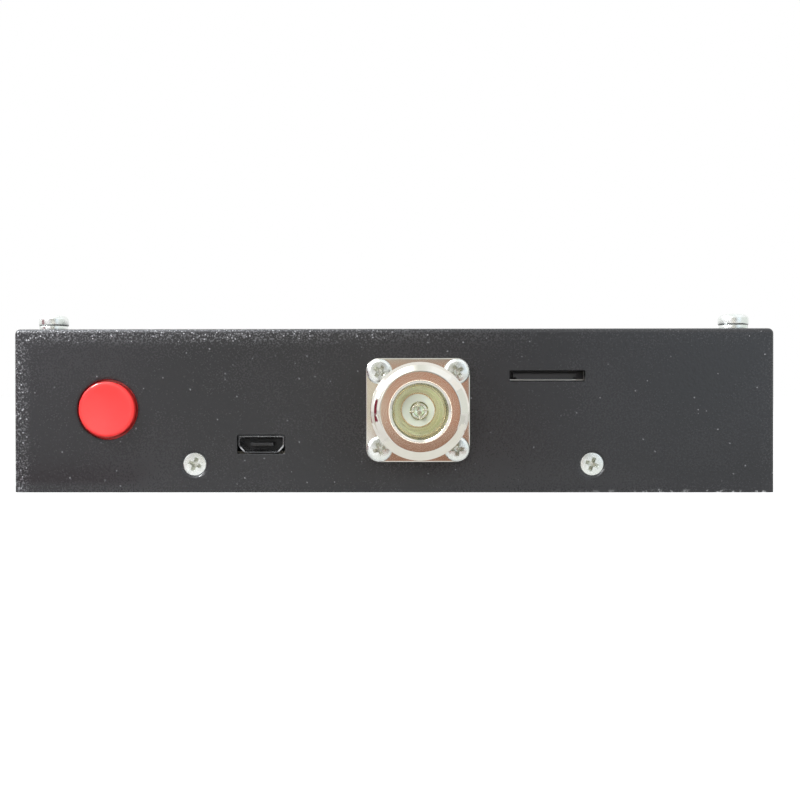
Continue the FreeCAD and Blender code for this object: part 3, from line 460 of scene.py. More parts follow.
screwHeads = {  # where the crossed recesses are, for the painted shade on their walls
    "cover": {"x": 34.0 * mm, "z": 4.8 * mm, "face": 43.7 * mm, "reach": 1.25 * mm},
    "flange": {"x": 4.2 * mm, "z": 14.1 * mm, "beside": 6.5 * mm, "face": 47.6 * mm, "reach": 1.3 * mm},
    "front": {"x": 60.0 * mm, "y": 38.0 * mm, "face": 30.9 * mm, "reach": 1.55 * mm},
    # dark is the painted shade colour for the recess walls
    "from": 0.1 * mm, "to": 0.4 * mm, "dark": (0.72, 0.73, 0.67, 1),
}


def recessShadeMask(place):  # 1 below the edge of each crossed recess, where painted shade goes
    x, y, z = (axisOf(place, axis) for axis in "XYZ")
    cover, flange, front = (screwHeads[name] for name in ("cover", "flange", "front"))
    beside, above = abs(x - flange["x"]) - flange["beside"], abs(z - flange["z"]) - flange["beside"]
    found = [
        (cover, apart(abs(x) - cover["x"], z - cover["z"]), cover["face"] - abs(y)),
        (flange, apart(beside, above), y + flange["face"]),
        (front, apart(abs(x) - front["x"], abs(y) - front["y"]), front["face"] - z),
    ]
    deep = 0.0
    for head, distance, depth in found:
        near = distance < head["reach"]
        deep = near * step(depth, screwHeads["from"], screwHeads["to"]) + deep
    return deep


metals = {
    "nickelScrew": {
        "slot": "nickel_screw", "light": (0.94, 0.96, 0.94, 1), "dull": (0.78, 0.81, 0.78, 1),
        "roughness": 0.26, "grain": 1500.0, "scratches": 0.3, "shadedRecesses": True,
    },
    "platedSteel": {
        "slot": "plated_steel", "light": (0.72, 0.73, 0.74, 1), "dull": (0.55, 0.56, 0.58, 1),
        "roughness": 0.24,
    },
    "springSteel": {
        "slot": "spring_steel", "light": (0.56, 0.56, 0.57, 1), "dull": (0.4, 0.4, 0.42, 1), "roughness": 0.3,
    },
    "brassBar": {
        "slot": "brass", "light": (0.83, 0.62, 0.28, 1), "dull": (0.66, 0.46, 0.19, 1), "roughness": 0.26,
    },
    "goldPins": {
        "slot": "gold_pins", "light": (0.95, 0.74, 0.36, 1), "dull": (0.86, 0.62, 0.27, 1), "roughness": 0.2,
    },
    "tinSheet": {
        "slot": "tin_sheet", "light": (0.8, 0.79, 0.76, 1), "dull": (0.63, 0.62, 0.6, 1), "roughness": 0.34,
        "grain": 260.0,
    },
    "cellFoil": {
        "slot": "cell_foil", "light": (0.74, 0.75, 0.77, 1), "dull": (0.6, 0.61, 0.63, 1), "roughness": 0.38,
        "grain": 130.0, "scratches": 0.9,
    },
    # painted shade: dark colour for the gold USB contacts, which sit in the socket's shade
    "shadedUsbTips": {"light": (0.09, 0.085, 0.08, 1), "dull": (0.06, 0.055, 0.05, 1), "roughness": 0.45},
}
plating = {"grain": 900.0, "scratches": 0.5, "lines": (9000.0, 700.0, 2500.0), "depth": 0.006 * mm}


def platedMetal(name):
    metal = {**plating, **metals[name]}
    material, place = newFinish(name)
    haze = noise(place, metal["grain"], 4.0)
    colour = blend(haze, metal["light"], metal["dull"])
    if "shadedRecesses" in metal:
        # painted shade: the recess walls are darkened
        colour = blend(recessShadeMask(place), colour, screwHeads["dark"])
    lines = noise(stretched(place, metal["lines"]), 1.0, 2.0)
    finishWith(place, {
        "Base Color": colour,
        "Metallic": 1.0,
        "Roughness": metal["roughness"] + (haze - 0.5) * 0.2 + (lines - 0.5) * 0.12,
        "Normal": relief(lines + haze * 0.5, metal["depth"], metal["scratches"]),
    })
    return material


mouldings = {
    "redCap": {
        "slot": "red_cap", "colour": (0.7, 0.034, 0.033, 1), "deeper": (0.67, 0.03, 0.029, 1),
        "roughness": 0.17, "grain": 1900.0, "depth": 0.004 * mm,
        "glow": {
            "Subsurface Weight": 0.12, "Subsurface Radius": (0.9, 0.25, 0.2), "Subsurface Scale": 0.6 * mm,
        },
    },
    "ptfe": {
        "slot": "ptfe", "colour": (0.87, 0.96, 0.91, 1), "deeper": (0.83, 0.92, 0.86, 1), "roughness": 0.42,
        "grain": 2600.0, "depth": 0.008 * mm,
        "glow": {
            "Subsurface Weight": 0.2, "Subsurface Radius": (1.0, 1.0, 0.8), "Subsurface Scale": 0.5 * mm,
        },
    },
    "blackMoulding": {
        "slot": "black_moulding", "colour": (0.018, 0.018, 0.019, 1), "deeper": (0.012, 0.012, 0.013, 1),
        "roughness": 0.6,
    },
    "whiteMoulding": {
        "slot": "white_moulding", "colour": (0.78, 0.77, 0.7, 1), "deeper": (0.7, 0.69, 0.62, 1),
        "roughness": 0.45,
    },
    "chipResin": {
        "slot": "chip_resin", "colour": (0.022, 0.022, 0.023, 1), "deeper": (0.014, 0.014, 0.015, 1),
        "roughness": 0.56, "grain": 3800.0, "depth": 0.012 * mm,
    },
    "cardResin": {
        "slot": "card_resin", "colour": (0.035, 0.035, 0.037, 1), "deeper": (0.026, 0.026, 0.028, 1),
        "roughness": 0.46, "grain": 2600.0,
    },
    "ferriteBlock": {
        "slot": "ferrite", "colour": (0.07, 0.068, 0.066, 1), "deeper": (0.04, 0.039, 0.038, 1),
        "roughness": 0.62, "grain": 2400.0, "depth": 0.02 * mm,
    },
    "whiteDiffuser": {
        "slot": "white_diffuser", "colour": (0.82, 0.83, 0.85, 1), "deeper": (0.76, 0.77, 0.79, 1),
        "roughness": 0.5, "grain": 800.0,
    },
    "leadSleeve": {
        "slot": "lead_sleeve", "colour": (0.5, 0.02, 0.02, 1), "deeper": (0.42, 0.014, 0.014, 1),
        "roughness": 0.36, "grain": 900.0,
    },
    "panelGlass": {
        "slot": "panel_glass", "colour": (0.03, 0.035, 0.05, 1), "deeper": (0.02, 0.024, 0.036, 1),
        "roughness": 0.12, "grain": 300.0, "depth": 0.001 * mm,
    },
}
moulding = {"grain": 1600.0, "cloud": 110.0, "depth": 0.01 * mm, "glow": {}}


def moulded(name):
    resin = {**moulding, **mouldings[name]}
    material, place = newFinish(name)
    fine = noise(place, resin["grain"], 3.0)
    cloud = noise(place, resin["cloud"], 3.0)
    finishWith(place, {
        "Base Color": blend(cloud, resin["colour"], resin["deeper"]),
        "Roughness": resin["roughness"] + (fine - 0.5) * 0.16 + (cloud - 0.5) * 0.1,
        "Normal": relief(fine, resin["depth"], 0.5),
        **resin["glow"],
    })
    return material


foam = {
    "pores": 2400.0, "lumps": 900.0, "open": (0.1, 0.55), "hollow": (0.012, 0.012, 0.012, 1),
    "skin": (0.04, 0.04, 0.042, 1), "roughness": 0.86, "depth": 0.09 * mm,
}


def foamStrip():
    material, place = newFinish("foamStrip")
    pores = cells(place, foam["pores"])
    lumps = noise(place, foam["lumps"], 4.0)
    finishWith(place, {
        # painted shade: the open pores are darker
        "Base Color": blend(step(pores, *foam["open"]), foam["hollow"], foam["skin"]),
        "Roughness": foam["roughness"] + (lumps - 0.5) * 0.15,
        "Normal": relief(pores + lumps * 0.4, foam["depth"], 0.9),
    })
    return material


film = {
    "amber": (0.42, 0.17, 0.03, 1), "copper": (0.62, 0.33, 0.1, 1),
    "strips": 620.0, "stripEdge": (0.22, 0.28), "roughness": 0.3, "haze": 500.0, "depth": 0.02 * mm,
}


def amberFilm():  # a flat cable's copper strips under an amber film
    material, place = newFinish("amberFilm")
    across = axisOf(place, "X") * film["strips"]
    strips = step(place.maths("PINGPONG", across, 0.5), *film["stripEdge"])
    haze = noise(place, film["haze"], 3.0)
    finishWith(place, {
        "Base Color": blend(strips, film["amber"], film["copper"]),
        "Roughness": film["roughness"] + haze * 0.14,
        "Normal": relief(strips + haze * 0.2, film["depth"], 0.5),
    })
    return material


touch = {
    "halfWide": 46.5 * mm, "halfDeep": 26.4 * mm, "printEdge": 0.02 * mm, "border": (0.004, 0.004, 0.005, 1),
    "dark": (0.011, 0.012, 0.0145, 1), "lit": (0.016, 0.018, 0.021, 1),
    "wires": 2600.0, "wireEdge": (0.2, 0.6),
    "smears": (30.0, 70.0, 30.0), "smeared": (0.5, 0.75), "roughness": 0.05, "smearDull": 0.09,
    "smearDepth": 0.002 * mm, "coat": 0.5, "coatRoughness": 0.03,
}


def touchGlass():  # a black printed border round the picture, under a clear glass
    material, place = newFinish("touchGlass")
    edge = touch["printEdge"]
    across = step(abs(axisOf(place, "X")), touch["halfWide"] + edge, touch["halfWide"] - edge)
    along = step(abs(axisOf(place, "Y")), touch["halfDeep"] + edge, touch["halfDeep"] - edge)
    dots = cells(place, touch["wires"], "F1", "CHEBYCHEV")
    smears = noise(stretched(place, touch["smears"]), 1.0, 5.0, 0.65)
    screen = blend(step(dots, *touch["wireEdge"]), touch["dark"], touch["lit"])
    finishWith(place, {
        "Base Color": blend(across * along, touch["border"], screen),
        "Roughness": touch["roughness"] + step(smears, *touch["smeared"]) * touch["smearDull"],
        "Coat Weight": touch["coat"],
        "Coat Roughness": touch["coatRoughness"],
        "Normal": relief(smears, touch["smearDepth"], 0.2),
    })
    return material


board = {
    "mask": (0.006, 0.085, 0.035, 1), "copper": (0.02, 0.17, 0.07, 1), "pad": (0.72, 0.52, 0.22, 1),
    "edge": (0.15, 0.135, 0.1, 1), "viaHoleShade": (0.01, 0.01, 0.01, 1), "tracks": 300.0, "trackEdge": (0.16, 0.1),
    "vias": 210.0, "viaEdge": (0.1, 0.075), "drillEdge": (0.05, 0.04), "weave": (900.0, 900.0, 5200.0),
    "sideways": (0.5, 0.6), "roughness": 0.34, "coat": 0.4, "coatRoughness": 0.15, "depth": 0.03 * mm,
}


def circuitBoard():
    material, place = newFinish("circuitBoard")
    near = cells(place, board["tracks"], "F1", "MANHATTAN")
    second = cells(place, board["tracks"], "F2", "MANHATTAN")
    tracks = step(second - near, *board["trackEdge"])
    vias = step(cells(place, board["vias"]), *board["viaEdge"])
    # painted shade: the drilled via holes are painted black
    holes = step(cells(place, board["vias"]), *board["drillEdge"])
    normal = place.node("ShaderNodeNewGeometry", None, None, "Normal")
    sideways = step(abs(axisOf(normal, "X")) + abs(axisOf(normal, "Y")), *board["sideways"])
    weave = noise(stretched(place, board["weave"]), 1.0, 3.0)
    top = blend(vias, blend(tracks, board["mask"], board["copper"]), board["pad"])
    finishWith(place, {
        "Base Color": blend(sideways, blend(holes, top, board["viaHoleShade"]), board["edge"]),
        "Metallic": vias * 0.9,
        "Roughness": board["roughness"] + (weave - 0.5) * 0.2,
        "Coat Weight": board["coat"],
        "Coat Roughness": board["coatRoughness"],
        "Normal": relief(tracks * 0.6 + vias * 0.5 + weave * 0.2, board["depth"], 0.7),
    })
    return material


def finishNodes():
    finishes = {
        "powder_coat": powderCoat(), "nickel": turnedNickel(), "foam": foamStrip(), "amber_film": amberFilm(),
        "touch_glass": touchGlass(), "circuit_board": circuitBoard(),
    }
    for kinds, make in ((metals, platedMetal), (mouldings, moulded)):
        for name, kind in kinds.items():
            if "slot" in kind:
                finishes[kind["slot"]] = make(name)
    for subpart in frame["record"]["subparts"]:
        slots = nodes[subpart["node"]].data.materials
        slots.clear()
        slots.append(finishes[subpart["material_slot"]])
    # painted shade: the USB contacts get the dark colour, not gold
    nodes["usb_contacts"].data.materials[0] = platedMetal("shadedUsbTips")
    print("finishes ready:", len(finishes))
    return finishes


# ---- mesh parts, in millimetres until a piece is finished

outOfFace = Matrix.Rotation(math.radians(90), 4, "X")  # local Z to -Y, local Y to Z
intoFace = Matrix.Rotation(math.radians(-90), 4, "X")
downwards = Matrix.Rotation(math.radians(180), 4, "X")
making = {"mergeWithin": 0.0005, "cornerSteps": 4, "turnSteps": 96, "screwSteps": 64, "evenWeight": 90}


def objectFrom(name, mesh, material=None):
    data = bpy.data.meshes.new(name)
    mesh.to_mesh(data)
    mesh.free()
    if material:
        data.materials.append(material)
    made = bpy.data.objects.new(name, data)
    bpy.context.scene.collection.objects.link(made)
    return made


def merged(mesh):
    bmesh.ops.remove_doubles(mesh, verts=mesh.verts, dist=making["mergeWithin"])
    return mesh


def closedUp(mesh):
    bmesh.ops.recalc_face_normals(merged(mesh), faces=mesh.faces)
    return mesh


def bevelled(mesh, geometry, size, segments, affect="EDGES"):
    bmesh.ops.bevel(
        mesh, geom=geometry, offset=size, segments=segments, profile=0.5, affect=affect, material=-1,
    )
    return mesh


def spun(mesh, angle, steps, **more):  # everything in the mesh, round Z
    geometry = mesh.verts[:] + mesh.edges[:] + mesh.faces[:]
    bmesh.ops.spin(mesh, geom=geometry, cent=(0, 0, 0), axis=(0, 0, 1), angle=angle, steps=steps, **more)
    return mesh


def capped(mesh):
    bmesh.ops.holes_fill(mesh, edges=[edge for edge in mesh.edges if edge.is_boundary], sides=0)
    return closedUp(mesh)


def turned(profile, steps=making["turnSteps"]):
    # points are (radius, height) or (radius, height, rounding); a ring starts and ends off the axis
    mesh = bmesh.new()
    points = [mesh.verts.new((point[0], 0, point[1])) for point in profile]
    pairs = list(zip(points, points[1:]))
    if profile[0][0] > 0:
        pairs.append((points[-1], points[0]))
    for pair in pairs:
        mesh.edges.new(pair)
    for vertex, point in zip(points, profile):
        if len(point) == 3:
            bevelled(mesh, [vertex], point[2], making["cornerSteps"], "VERTICES")
    return closedUp(spun(mesh, math.tau, steps, use_merge=True))


def boxBetween(low, high, thinnest=0.0):
    mesh = bmesh.new()
    bmesh.ops.create_cube(mesh, size=1)
    bmesh.ops.scale(mesh, verts=mesh.verts, vec=[max(b - a, thinnest) for a, b in zip(low, high)])
    bmesh.ops.translate(mesh, verts=mesh.verts, vec=[(a + b) / 2 for a, b in zip(low, high)])
    return mesh


def isLevel(edge):
    return abs(edge.verts[0].co.z - edge.verts[1].co.z) < making["mergeWithin"]


def block(low, high, rounding, segments=6):  # a box whose edges along Z are rounded
    mesh = boxBetween(low, high)
    return bevelled(mesh, [edge for edge in mesh.edges if not isLevel(edge)], rounding, segments)


def added(target, source, matrix):
    # puts a turned or moved copy of the source into the target
    data = bpy.data.meshes.new("part")
    source.to_mesh(data)
    data.transform(matrix)
    target.from_mesh(data)
    bpy.data.meshes.remove(data)


def moved(mesh, matrix):
    bmesh.ops.transform(mesh, matrix=matrix, verts=mesh.verts)
    return mesh


def carved(base, other, operation="DIFFERENCE"):
    holders = [objectFrom("part", mesh) for mesh in (base, other)]
    cut = holders[0].modifiers.new("cut", "BOOLEAN")
    cut.object = holders[1]
    cut.operation = operation
    cut.solver = "EXACT"
    bpy.context.view_layer.update()
    whole = holders[0].evaluated_get(bpy.context.evaluated_depsgraph_get())
    result = bmesh.new()
    result.from_mesh(whole.to_mesh())
    for holder in holders:
        data = holder.data
        bpy.data.objects.remove(holder)
        bpy.data.meshes.remove(data)
    return merged(result)


def finishPiece(name, mesh, slot, body, replaced, sharpFrom):
    bmesh.ops.scale(mesh, verts=mesh.verts, vec=(mm, mm, mm))
    for face in mesh.faces:
        face.smooth = True
    for edge in mesh.edges:
        edge.smooth = edge.calc_face_angle(0) < math.radians(sharpFrom)
    piece = objectFrom(name, mesh, finishes[slot])
    even = piece.modifiers.new("even", "WEIGHTED_NORMAL")
    even.weight = making["evenWeight"]
    even.keep_sharp = True
    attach(piece, body)
    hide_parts(replaced)
    print(name, "has", len(piece.data.polygons), "faces")


def fourCorners(x, y):
    return [(sideX * x, sideY * y) for sideX in (-1, 1) for sideY in (-1, 1)]


def turnedZ(degrees):
    return Matrix.Rotation(math.radians(degrees), 4, "Z")


def onFace(place, out=0.0):  # local Z points out of the connector side, from the case's face
    return Matrix.Translation((place[0], -highest.y - out, place[1])) @ outOfFace


# ---- the folded case

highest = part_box("front_shell")[1] / mm
case = {
    "sheet": 1.2, "bend": 0.9, "insideBend": 0.3, "bendSteps": 8, "atTop": 0.01,
    "over": 0.5, "holeSteps": 72, "rim": 0.12, "lip": 0.34, "lipRounding": 0.8, "lipFlat": 0.003,
    "window": (98.0, 57.0), "windowCorner": 1.0,
    "frontScrews": (60.0, 38.0), "frontHole": 1.65,
    "coverScrews": (34.0, 4.8), "coverHole": 1.4, "countersink": 2.34, "land": 0.15,
    "button": (-48.9, 14.2), "buttonHole": 5.2,
    "port": (4.2, 14.1), "portHole": 5.7, "portScrews": 6.5,
    "usb": (-22.6, 8.2), "usbHole": (8.2, 3.3), "usbCorner": 0.35,
    "card": (26.35, 19.875), "cardHole": (12.9, 1.85), "cardCorner": 0.2,
}


def foldedBlock(low, high, radius):
    # upright and top edges rounded, square below
    mesh = boxBetween(low, high)
    top = high[2] - case["atTop"]
    edges = [edge for edge in mesh.edges if max(vertex.co.z for vertex in edge.verts) > top]
    return bevelled(mesh, edges, radius, case["bendSteps"])


def roundHole(radius, rim, depth=None, lip=0.0):
    # a cutter that starts in front of the sheet's face, wider at the rim, where it may have a rounded lip
    over = case["over"]
    end = case["sheet"] + over
    depth = rim if depth is None else depth
    wide = radius + rim
    if lip:
        flat = case["lipFlat"]
        mouth = [(wide + lip, -over), (wide + lip, -flat), (wide, flat, lip * case["lipRounding"])]
    else:
        mouth = [(wide + rim / depth * over, -over)]
    return turned([(0, -over), *mouth, (radius, depth), (radius, end), (0, end)], case["holeSteps"])


def longHole(size, corner, rim):
    over = case["over"]
    half = Vector((size[0] / 2, size[1] / 2))
    mesh = block((-half.x, -half.y, rim), (half.x, half.y, case["sheet"] + over), corner)
    face = min(mesh.faces, key=lambda face: face.calc_center_median().z)
    grown = bmesh.ops.extrude_face_region(mesh, geom=[face])["geom"]
    bmesh.ops.delete(mesh, geom=[face], context="FACES_ONLY")
    for vertex in [item for item in grown if isinstance(item, bmesh.types.BMVert)]:
        vertex.co.x += math.copysign(rim + over, vertex.co.x)
        vertex.co.y += math.copysign(rim + over, vertex.co.y)
        vertex.co.z = -over
    return closedUp(mesh)


def makeCase():
    halfX, halfY, top = highest
    sheet, rim = case["sheet"], case["rim"]
    shell = foldedBlock((-halfX, -halfY, 0), (halfX, halfY, top), case["bend"])
    inside = foldedBlock(
        (sheet - halfX, sheet - halfY, -sheet), (halfX - sheet, halfY - sheet, top - sheet),
        case["insideBend"],
    )
    shell = carved(shell, inside)
    cutters = bmesh.new()

    def cutFace(cutter, place, turn=0):
        inwards = Matrix.Translation((place[0], -halfY, place[1])) @ intoFace
        added(cutters, cutter, turnedZ(turn) @ inwards)

    def cutTop(cutter, place):
        added(cutters, cutter, Matrix.Translation((place[0], place[1], top)) @ downwards)

    cutFace(roundHole(case["buttonHole"], rim, rim, case["lip"]), case["button"])
    cutFace(roundHole(case["portHole"], rim), case["port"])
    for x, z in fourCorners(case["portScrews"], case["portScrews"]):
        cutFace(roundHole(case["coverHole"], rim), (case["port"][0] + x, case["port"][1] + z))
    sink = case["countersink"] - case["coverHole"]
    for side in (-1, 1):
        place = (side * case["coverScrews"][0], case["coverScrews"][1])
        for turn in (0, 180):
            cutFace(roundHole(case["coverHole"], sink, sheet - case["land"], case["lip"]), place, turn)
    cutFace(longHole(case["usbHole"], case["usbCorner"], rim / 2), case["usb"])
    cutFace(longHole(case["cardHole"], case["cardCorner"], rim / 2), case["card"])
    cutTop(longHole(case["window"], case["windowCorner"], rim), (0, 0))
    for place in fourCorners(*case["frontScrews"]):
        cutTop(roundHole(case["frontHole"], rim), place)
    shell = carved(shell, cutters)
    finishPiece("caseShell", shell, "powder_coat", "case", "front_shell", sharpFrom=30)


# ---- screws and washers

recess = {"over": 0.02, "narrowing": (0.34, 0.62, 1), "edge": 0.12}


def crossRecess(mesh, top, sizes):
    # two crossed wings that narrow downwards
    reach, half = sizes["recess"], sizes["wing"] / 2
    for angle in (0, 90):
        wing = boxBetween((-reach, -half, top - sizes["deep"]), (reach, half, top + recess["over"]))
        low = [vertex for vertex in wing.verts if vertex.co.z < top]
        bmesh.ops.scale(wing, verts=low, vec=recess["narrowing"])
        foot = [edge for edge in wing.edges if all(vertex in low for vertex in edge.verts)]
        bevelled(wing, foot, sizes["wing"] * recess["edge"], 1)
        mesh = carved(mesh, moved(wing, turnedZ(angle)))
    return mesh


def panScrew(sizes):
    radius, shank, length, point = (sizes[name] for name in ("head", "shank", "length", "point"))
    crown, rounding = sizes["height"] - sizes["dome"], sizes["rounding"]
    shoulder = rounding * sizes["shoulder"]
    mesh = turned([
        (0, sizes["height"]), (radius - shoulder, crown, rounding), (radius, crown - rounding, shoulder),
        (radius, 0, sizes["under"]), (shank, 0), (shank, point - length), (shank - point, -length),
        (0, -length),
    ], making["screwSteps"])
    return crossRecess(mesh, sizes["height"], sizes)


frontScrew = {
    "head": 2.58, "height": 2.1, "dome": 0.3, "rounding": 0.6, "shoulder": 0.4, "under": 0.3,
    "shank": 1.5, "length": 12.0, "point": 0.4, "recess": 1.5, "wing": 0.85, "deep": 1.3,
    "turn": 25.0, "nextTurn": 40.0,
}
washer = {"thick": 0.8, "inside": 1.65, "outside": 2.42, "split": 11.0, "edge": 0.08, "steps": 60}


def splitWasher():
    inside, outside, thick = washer["inside"], washer["outside"], washer["thick"]
    mesh = bmesh.new()
    section = [(inside, 0), (outside, 0), (outside, thick), (inside, thick)]
    face = mesh.faces.new([mesh.verts.new((x, 0, z)) for x, z in section])
    bevelled(mesh, face.verts[:], washer["edge"], 2, "VERTICES")
    moved(mesh, turnedZ(washer["split"] / 2))
    return capped(spun(mesh, math.tau - math.radians(washer["split"]), washer["steps"]))


def makeFrontScrews():
    screw, ring = panScrew(frontScrew), splitWasher()
    screws, rings = bmesh.new(), bmesh.new()
    for index, (x, y) in enumerate(fourCorners(*case["frontScrews"])):
        turn = turnedZ(frontScrew["turn"] + frontScrew["nextTurn"] * index)
        added(screws, screw, Matrix.Translation((x, y, highest.z + washer["thick"])) @ turn)
        outwards = Matrix.Rotation(math.atan2(y, x), 4, "Z")
        added(rings, ring, Matrix.Translation((x, y, highest.z)) @ outwards)
    finishPiece("frontScrewSet", screws, "nickel_screw", "case", "front_screws", sharpFrom=40)
    finishPiece("splitWasherSet", rings, "nickel_screw", "case", "front_spring_washers", sharpFrom=40)


coverScrew = {
    "head": 2.02, "sunk": 0.3, "side": 0.2, "shank": 1.25, "length": 5.0, "point": 0.3, "slope": 0.9,
    "rounding": 0.19, "recess": 1.2, "wing": 0.66, "deep": 1.15, "turn": -20.0,
}


def makeCoverScrews():
    shank, head, side = coverScrew["shank"], coverScrew["head"], coverScrew["side"]
    length, point = coverScrew["length"], coverScrew["point"]
    neck = side + (head - shank) * coverScrew["slope"]
    screw = turned([
        (0, 0), (head, 0, coverScrew["rounding"]), (head, -side), (shank, -neck), (shank, point - length),
        (shank - point, -length), (0, -length),
    ], making["screwSteps"])
    screw = crossRecess(screw, 0, coverScrew)
    screws = bmesh.new()
    for end in (-1, 1):
        place = (end * case["coverScrews"][0], case["coverScrews"][1])
        front = onFace(place, -coverScrew["sunk"]) @ turnedZ(coverScrew["turn"])
        added(screws, screw, front)
        added(screws, screw, turnedZ(180) @ front)
    finishPiece("coverScrewSet", screws, "nickel_screw", "case", "cover_screws", sharpFrom=40)


# ---- antenna connector; heights are from the case's face outwards, depths from the rim inwards

port = {
    "flange": 17.6, "flangeThick": 1.9, "flangeCorner": 2.3, "cornerSteps": 10,
    "flangeEdge": 0.22, "edgeSteps": 3, "steps": 144,
    "rearBore": 3.6, "rear": -2.4, "spigot": 5.5, "spigotEnd": 0.5,
    "neck": 6.9, "neckEnd": 4.2, "neckRounding": 0.2, "threadStep": 0.3,
    "root": 7.37, "crest": 7.94, "reach": 12.05,
    "chamferEnd": 0.735, "chamferMiddle": (6.95, 0.315),
    "rimOutside": 6.5, "rimRounding": 0.09, "rimFlat": 0.2,
    "bore": [  # radius, depth and rounding
        (5.05, 0), (4.9, 0, 0.03), (4.52, 0.27, 0.03), (4.38, 0.8, 0.06), (4.38, 3.84, 0.1),
        (4.02, 4.2, 0.06), (4.02, 6.3, 0.3), (3.5, 7.4, 0.3), (3.5, 8.4, 0.1), (2.95, 9.05, 0.08),
        (2.95, 10.55), (3.6, 10.55),
    ],
}
thread = {
    "pitch": 1.058, "crestFlat": 0.14, "rootFlat": 0.27, "inside": 0.15, "outside": 0.05,
    "from": 4.25, "runIn": 0.5, "under": 0.02, "steps": 72, "turn": 140.0,
}


def threadRidge():
    # one tooth carried round as a helix, then trimmed at both ends
    root, crest, end = port["root"], port["crest"], port["reach"]
    depth, pitch, under = crest - root, thread["pitch"], thread["under"]
    low, high = (pitch - thread["rootFlat"]) / 2, thread["crestFlat"] / 2
    start = thread["from"] - pitch
    inside, outside = root - thread["inside"], crest + thread["outside"]
    section = [(inside, -low), (outside, -high), (outside, high), (inside, low)]
    mesh = bmesh.new()
    mesh.faces.new([mesh.verts.new((x, 0, start + z)) for x, z in section])
    turns = math.ceil((end - start) / pitch)
    spun(mesh, math.tau * turns, turns * thread["steps"], dvec=(0, 0, pitch / thread["steps"]))
    moved(capped(mesh), turnedZ(thread["turn"]))
    middle, full = port["chamferMiddle"], end - port["chamferEnd"] - under
    envelope = turned([
        (0, thread["from"]), (root - thread["outside"], thread["from"]),
        (crest, thread["from"] + thread["runIn"]), (crest, full - depth), (root, full),
        (middle[0], end - middle[1] - under), (port["rimOutside"] - under, end - under), (0, end - under),
    ], port["steps"])
    return carved(mesh, envelope, "INTERSECT")


def makeConnector():
    root, end, rim, middle = port["root"], port["reach"], port["rimOutside"], port["chamferMiddle"]
    bore = [(radius, end - depth, *rounding) for radius, depth, *rounding in port["bore"]]
    body = turned([
        (port["rearBore"], port["rear"]), (port["spigot"], port["rear"]), (port["spigot"], port["spigotEnd"]),
        (port["neck"], port["spigotEnd"]), (port["neck"], port["neckEnd"], port["neckRounding"]),
        (root, port["neckEnd"] + port["threadStep"]), (root, end - port["chamferEnd"]),
        (middle[0], end - middle[1]), (rim, end, port["rimRounding"]), (rim - port["rimFlat"], end), *bore,
    ], port["steps"])
    body = carved(body, threadRidge(), "UNION")
    half = port["flange"] / 2
    low, high = (-half, -half, 0), (half, half, port["flangeThick"])
    flange = block(low, high, port["flangeCorner"], port["cornerSteps"])
    rims = [edge for edge in flange.edges if isLevel(edge)]
    bevelled(flange, rims, port["flangeEdge"], port["edgeSteps"])
    body = moved(carved(flange, body, "UNION"), onFace(case["port"]))
    finishPiece("connectorBody", body, "nickel", "case", "antenna_connector_body", sharpFrom=32)


flangeScrew = {
    "head": 2.15, "height": 1.7, "dome": 0.2, "rounding": 0.45, "shoulder": 0.4, "under": 0.08,
    "shank": 1.25, "length": 7.0, "point": 0.4, "recess": 1.25, "wing": 0.7, "deep": 1.0,
    "turn": 20.0, "nextTurn": 34.0,
}


def makeFlangeScrews():
    screw = panScrew(flangeScrew)
    screws = bmesh.new()
    for index, (x, z) in enumerate(fourCorners(case["portScrews"], case["portScrews"])):
        turn = turnedZ(flangeScrew["turn"] + flangeScrew["nextTurn"] * index)
        place = (case["port"][0] + x, case["port"][1] + z)
        added(screws, screw, onFace(place, port["flangeThick"]) @ turn)
    finishPiece("flangeScrewSet", screws, "nickel_screw", "case", "connector_screws", sharpFrom=40)


contact = {
    "tip": 8.05, "radius": 1.52, "bore": 0.85, "boreDepth": 4.6, "drillPoint": 0.4,
    "slot": 0.36, "slotDepth": 4.3,
    "boreLead": (0.3, 0.15), "tipLead": (0.36, 0.25), "side": (0.5, 0.2), "turn": 8.0,
    "rear": [  # radius and height, from the shoulder to the bottom of the solder cup
        (1.52, 3.02), (1.2, 3.02), (1.2, -4.52), (1.3, -4.52), (1.3, -8.5), (0.8, -8.5), (0.8, -5.7),
        (0, -5.7),
    ],
    "cupWindow": ((-2, 0, -9), (2, 2, -6.5)),
}


def makeContact():
    tip, radius, bore = contact["tip"], contact["radius"], contact["bore"]
    boreEnd = tip - contact["boreDepth"]
    mesh = turned([
        (0, boreEnd - contact["drillPoint"]), (bore, boreEnd),
        (bore, tip - contact["boreLead"][0], contact["boreLead"][1]),
        (radius - contact["tipLead"][0], tip, contact["tipLead"][1]),
        (radius, tip - contact["side"][0], contact["side"][1]), *contact["rear"],
    ], making["screwSteps"])
    half = contact["slot"] / 2
    for wide, high in ((radius + 1, half), (half, radius + 1)):
        slot = boxBetween((-wide, -high, tip - contact["slotDepth"]), (wide, high, tip + 1))
        mesh = carved(mesh, slot)
    mesh = carved(mesh, boxBetween(*contact["cupWindow"]))
    mesh = moved(mesh, onFace(case["port"]) @ turnedZ(contact["turn"]))
    finishPiece("centreContact", mesh, "nickel", "case", "connector_contact", sharpFrom=40)


# ---- button cap

cap = {
    "radius": 4.78, "proud": 0.95, "rounding": 0.48, "dish": 4.2, "dishDepth": 0.28, "dishSteps": 8,
    "collar": 0.8, "collarFrom": -1.6, "collarEnd": -2.4, "collarEdge": 0.1,
    "skirtInset": 0.4, "skirtEnd": -3.4, "hollowInset": 1.1, "hollowEnd": -0.3,
}


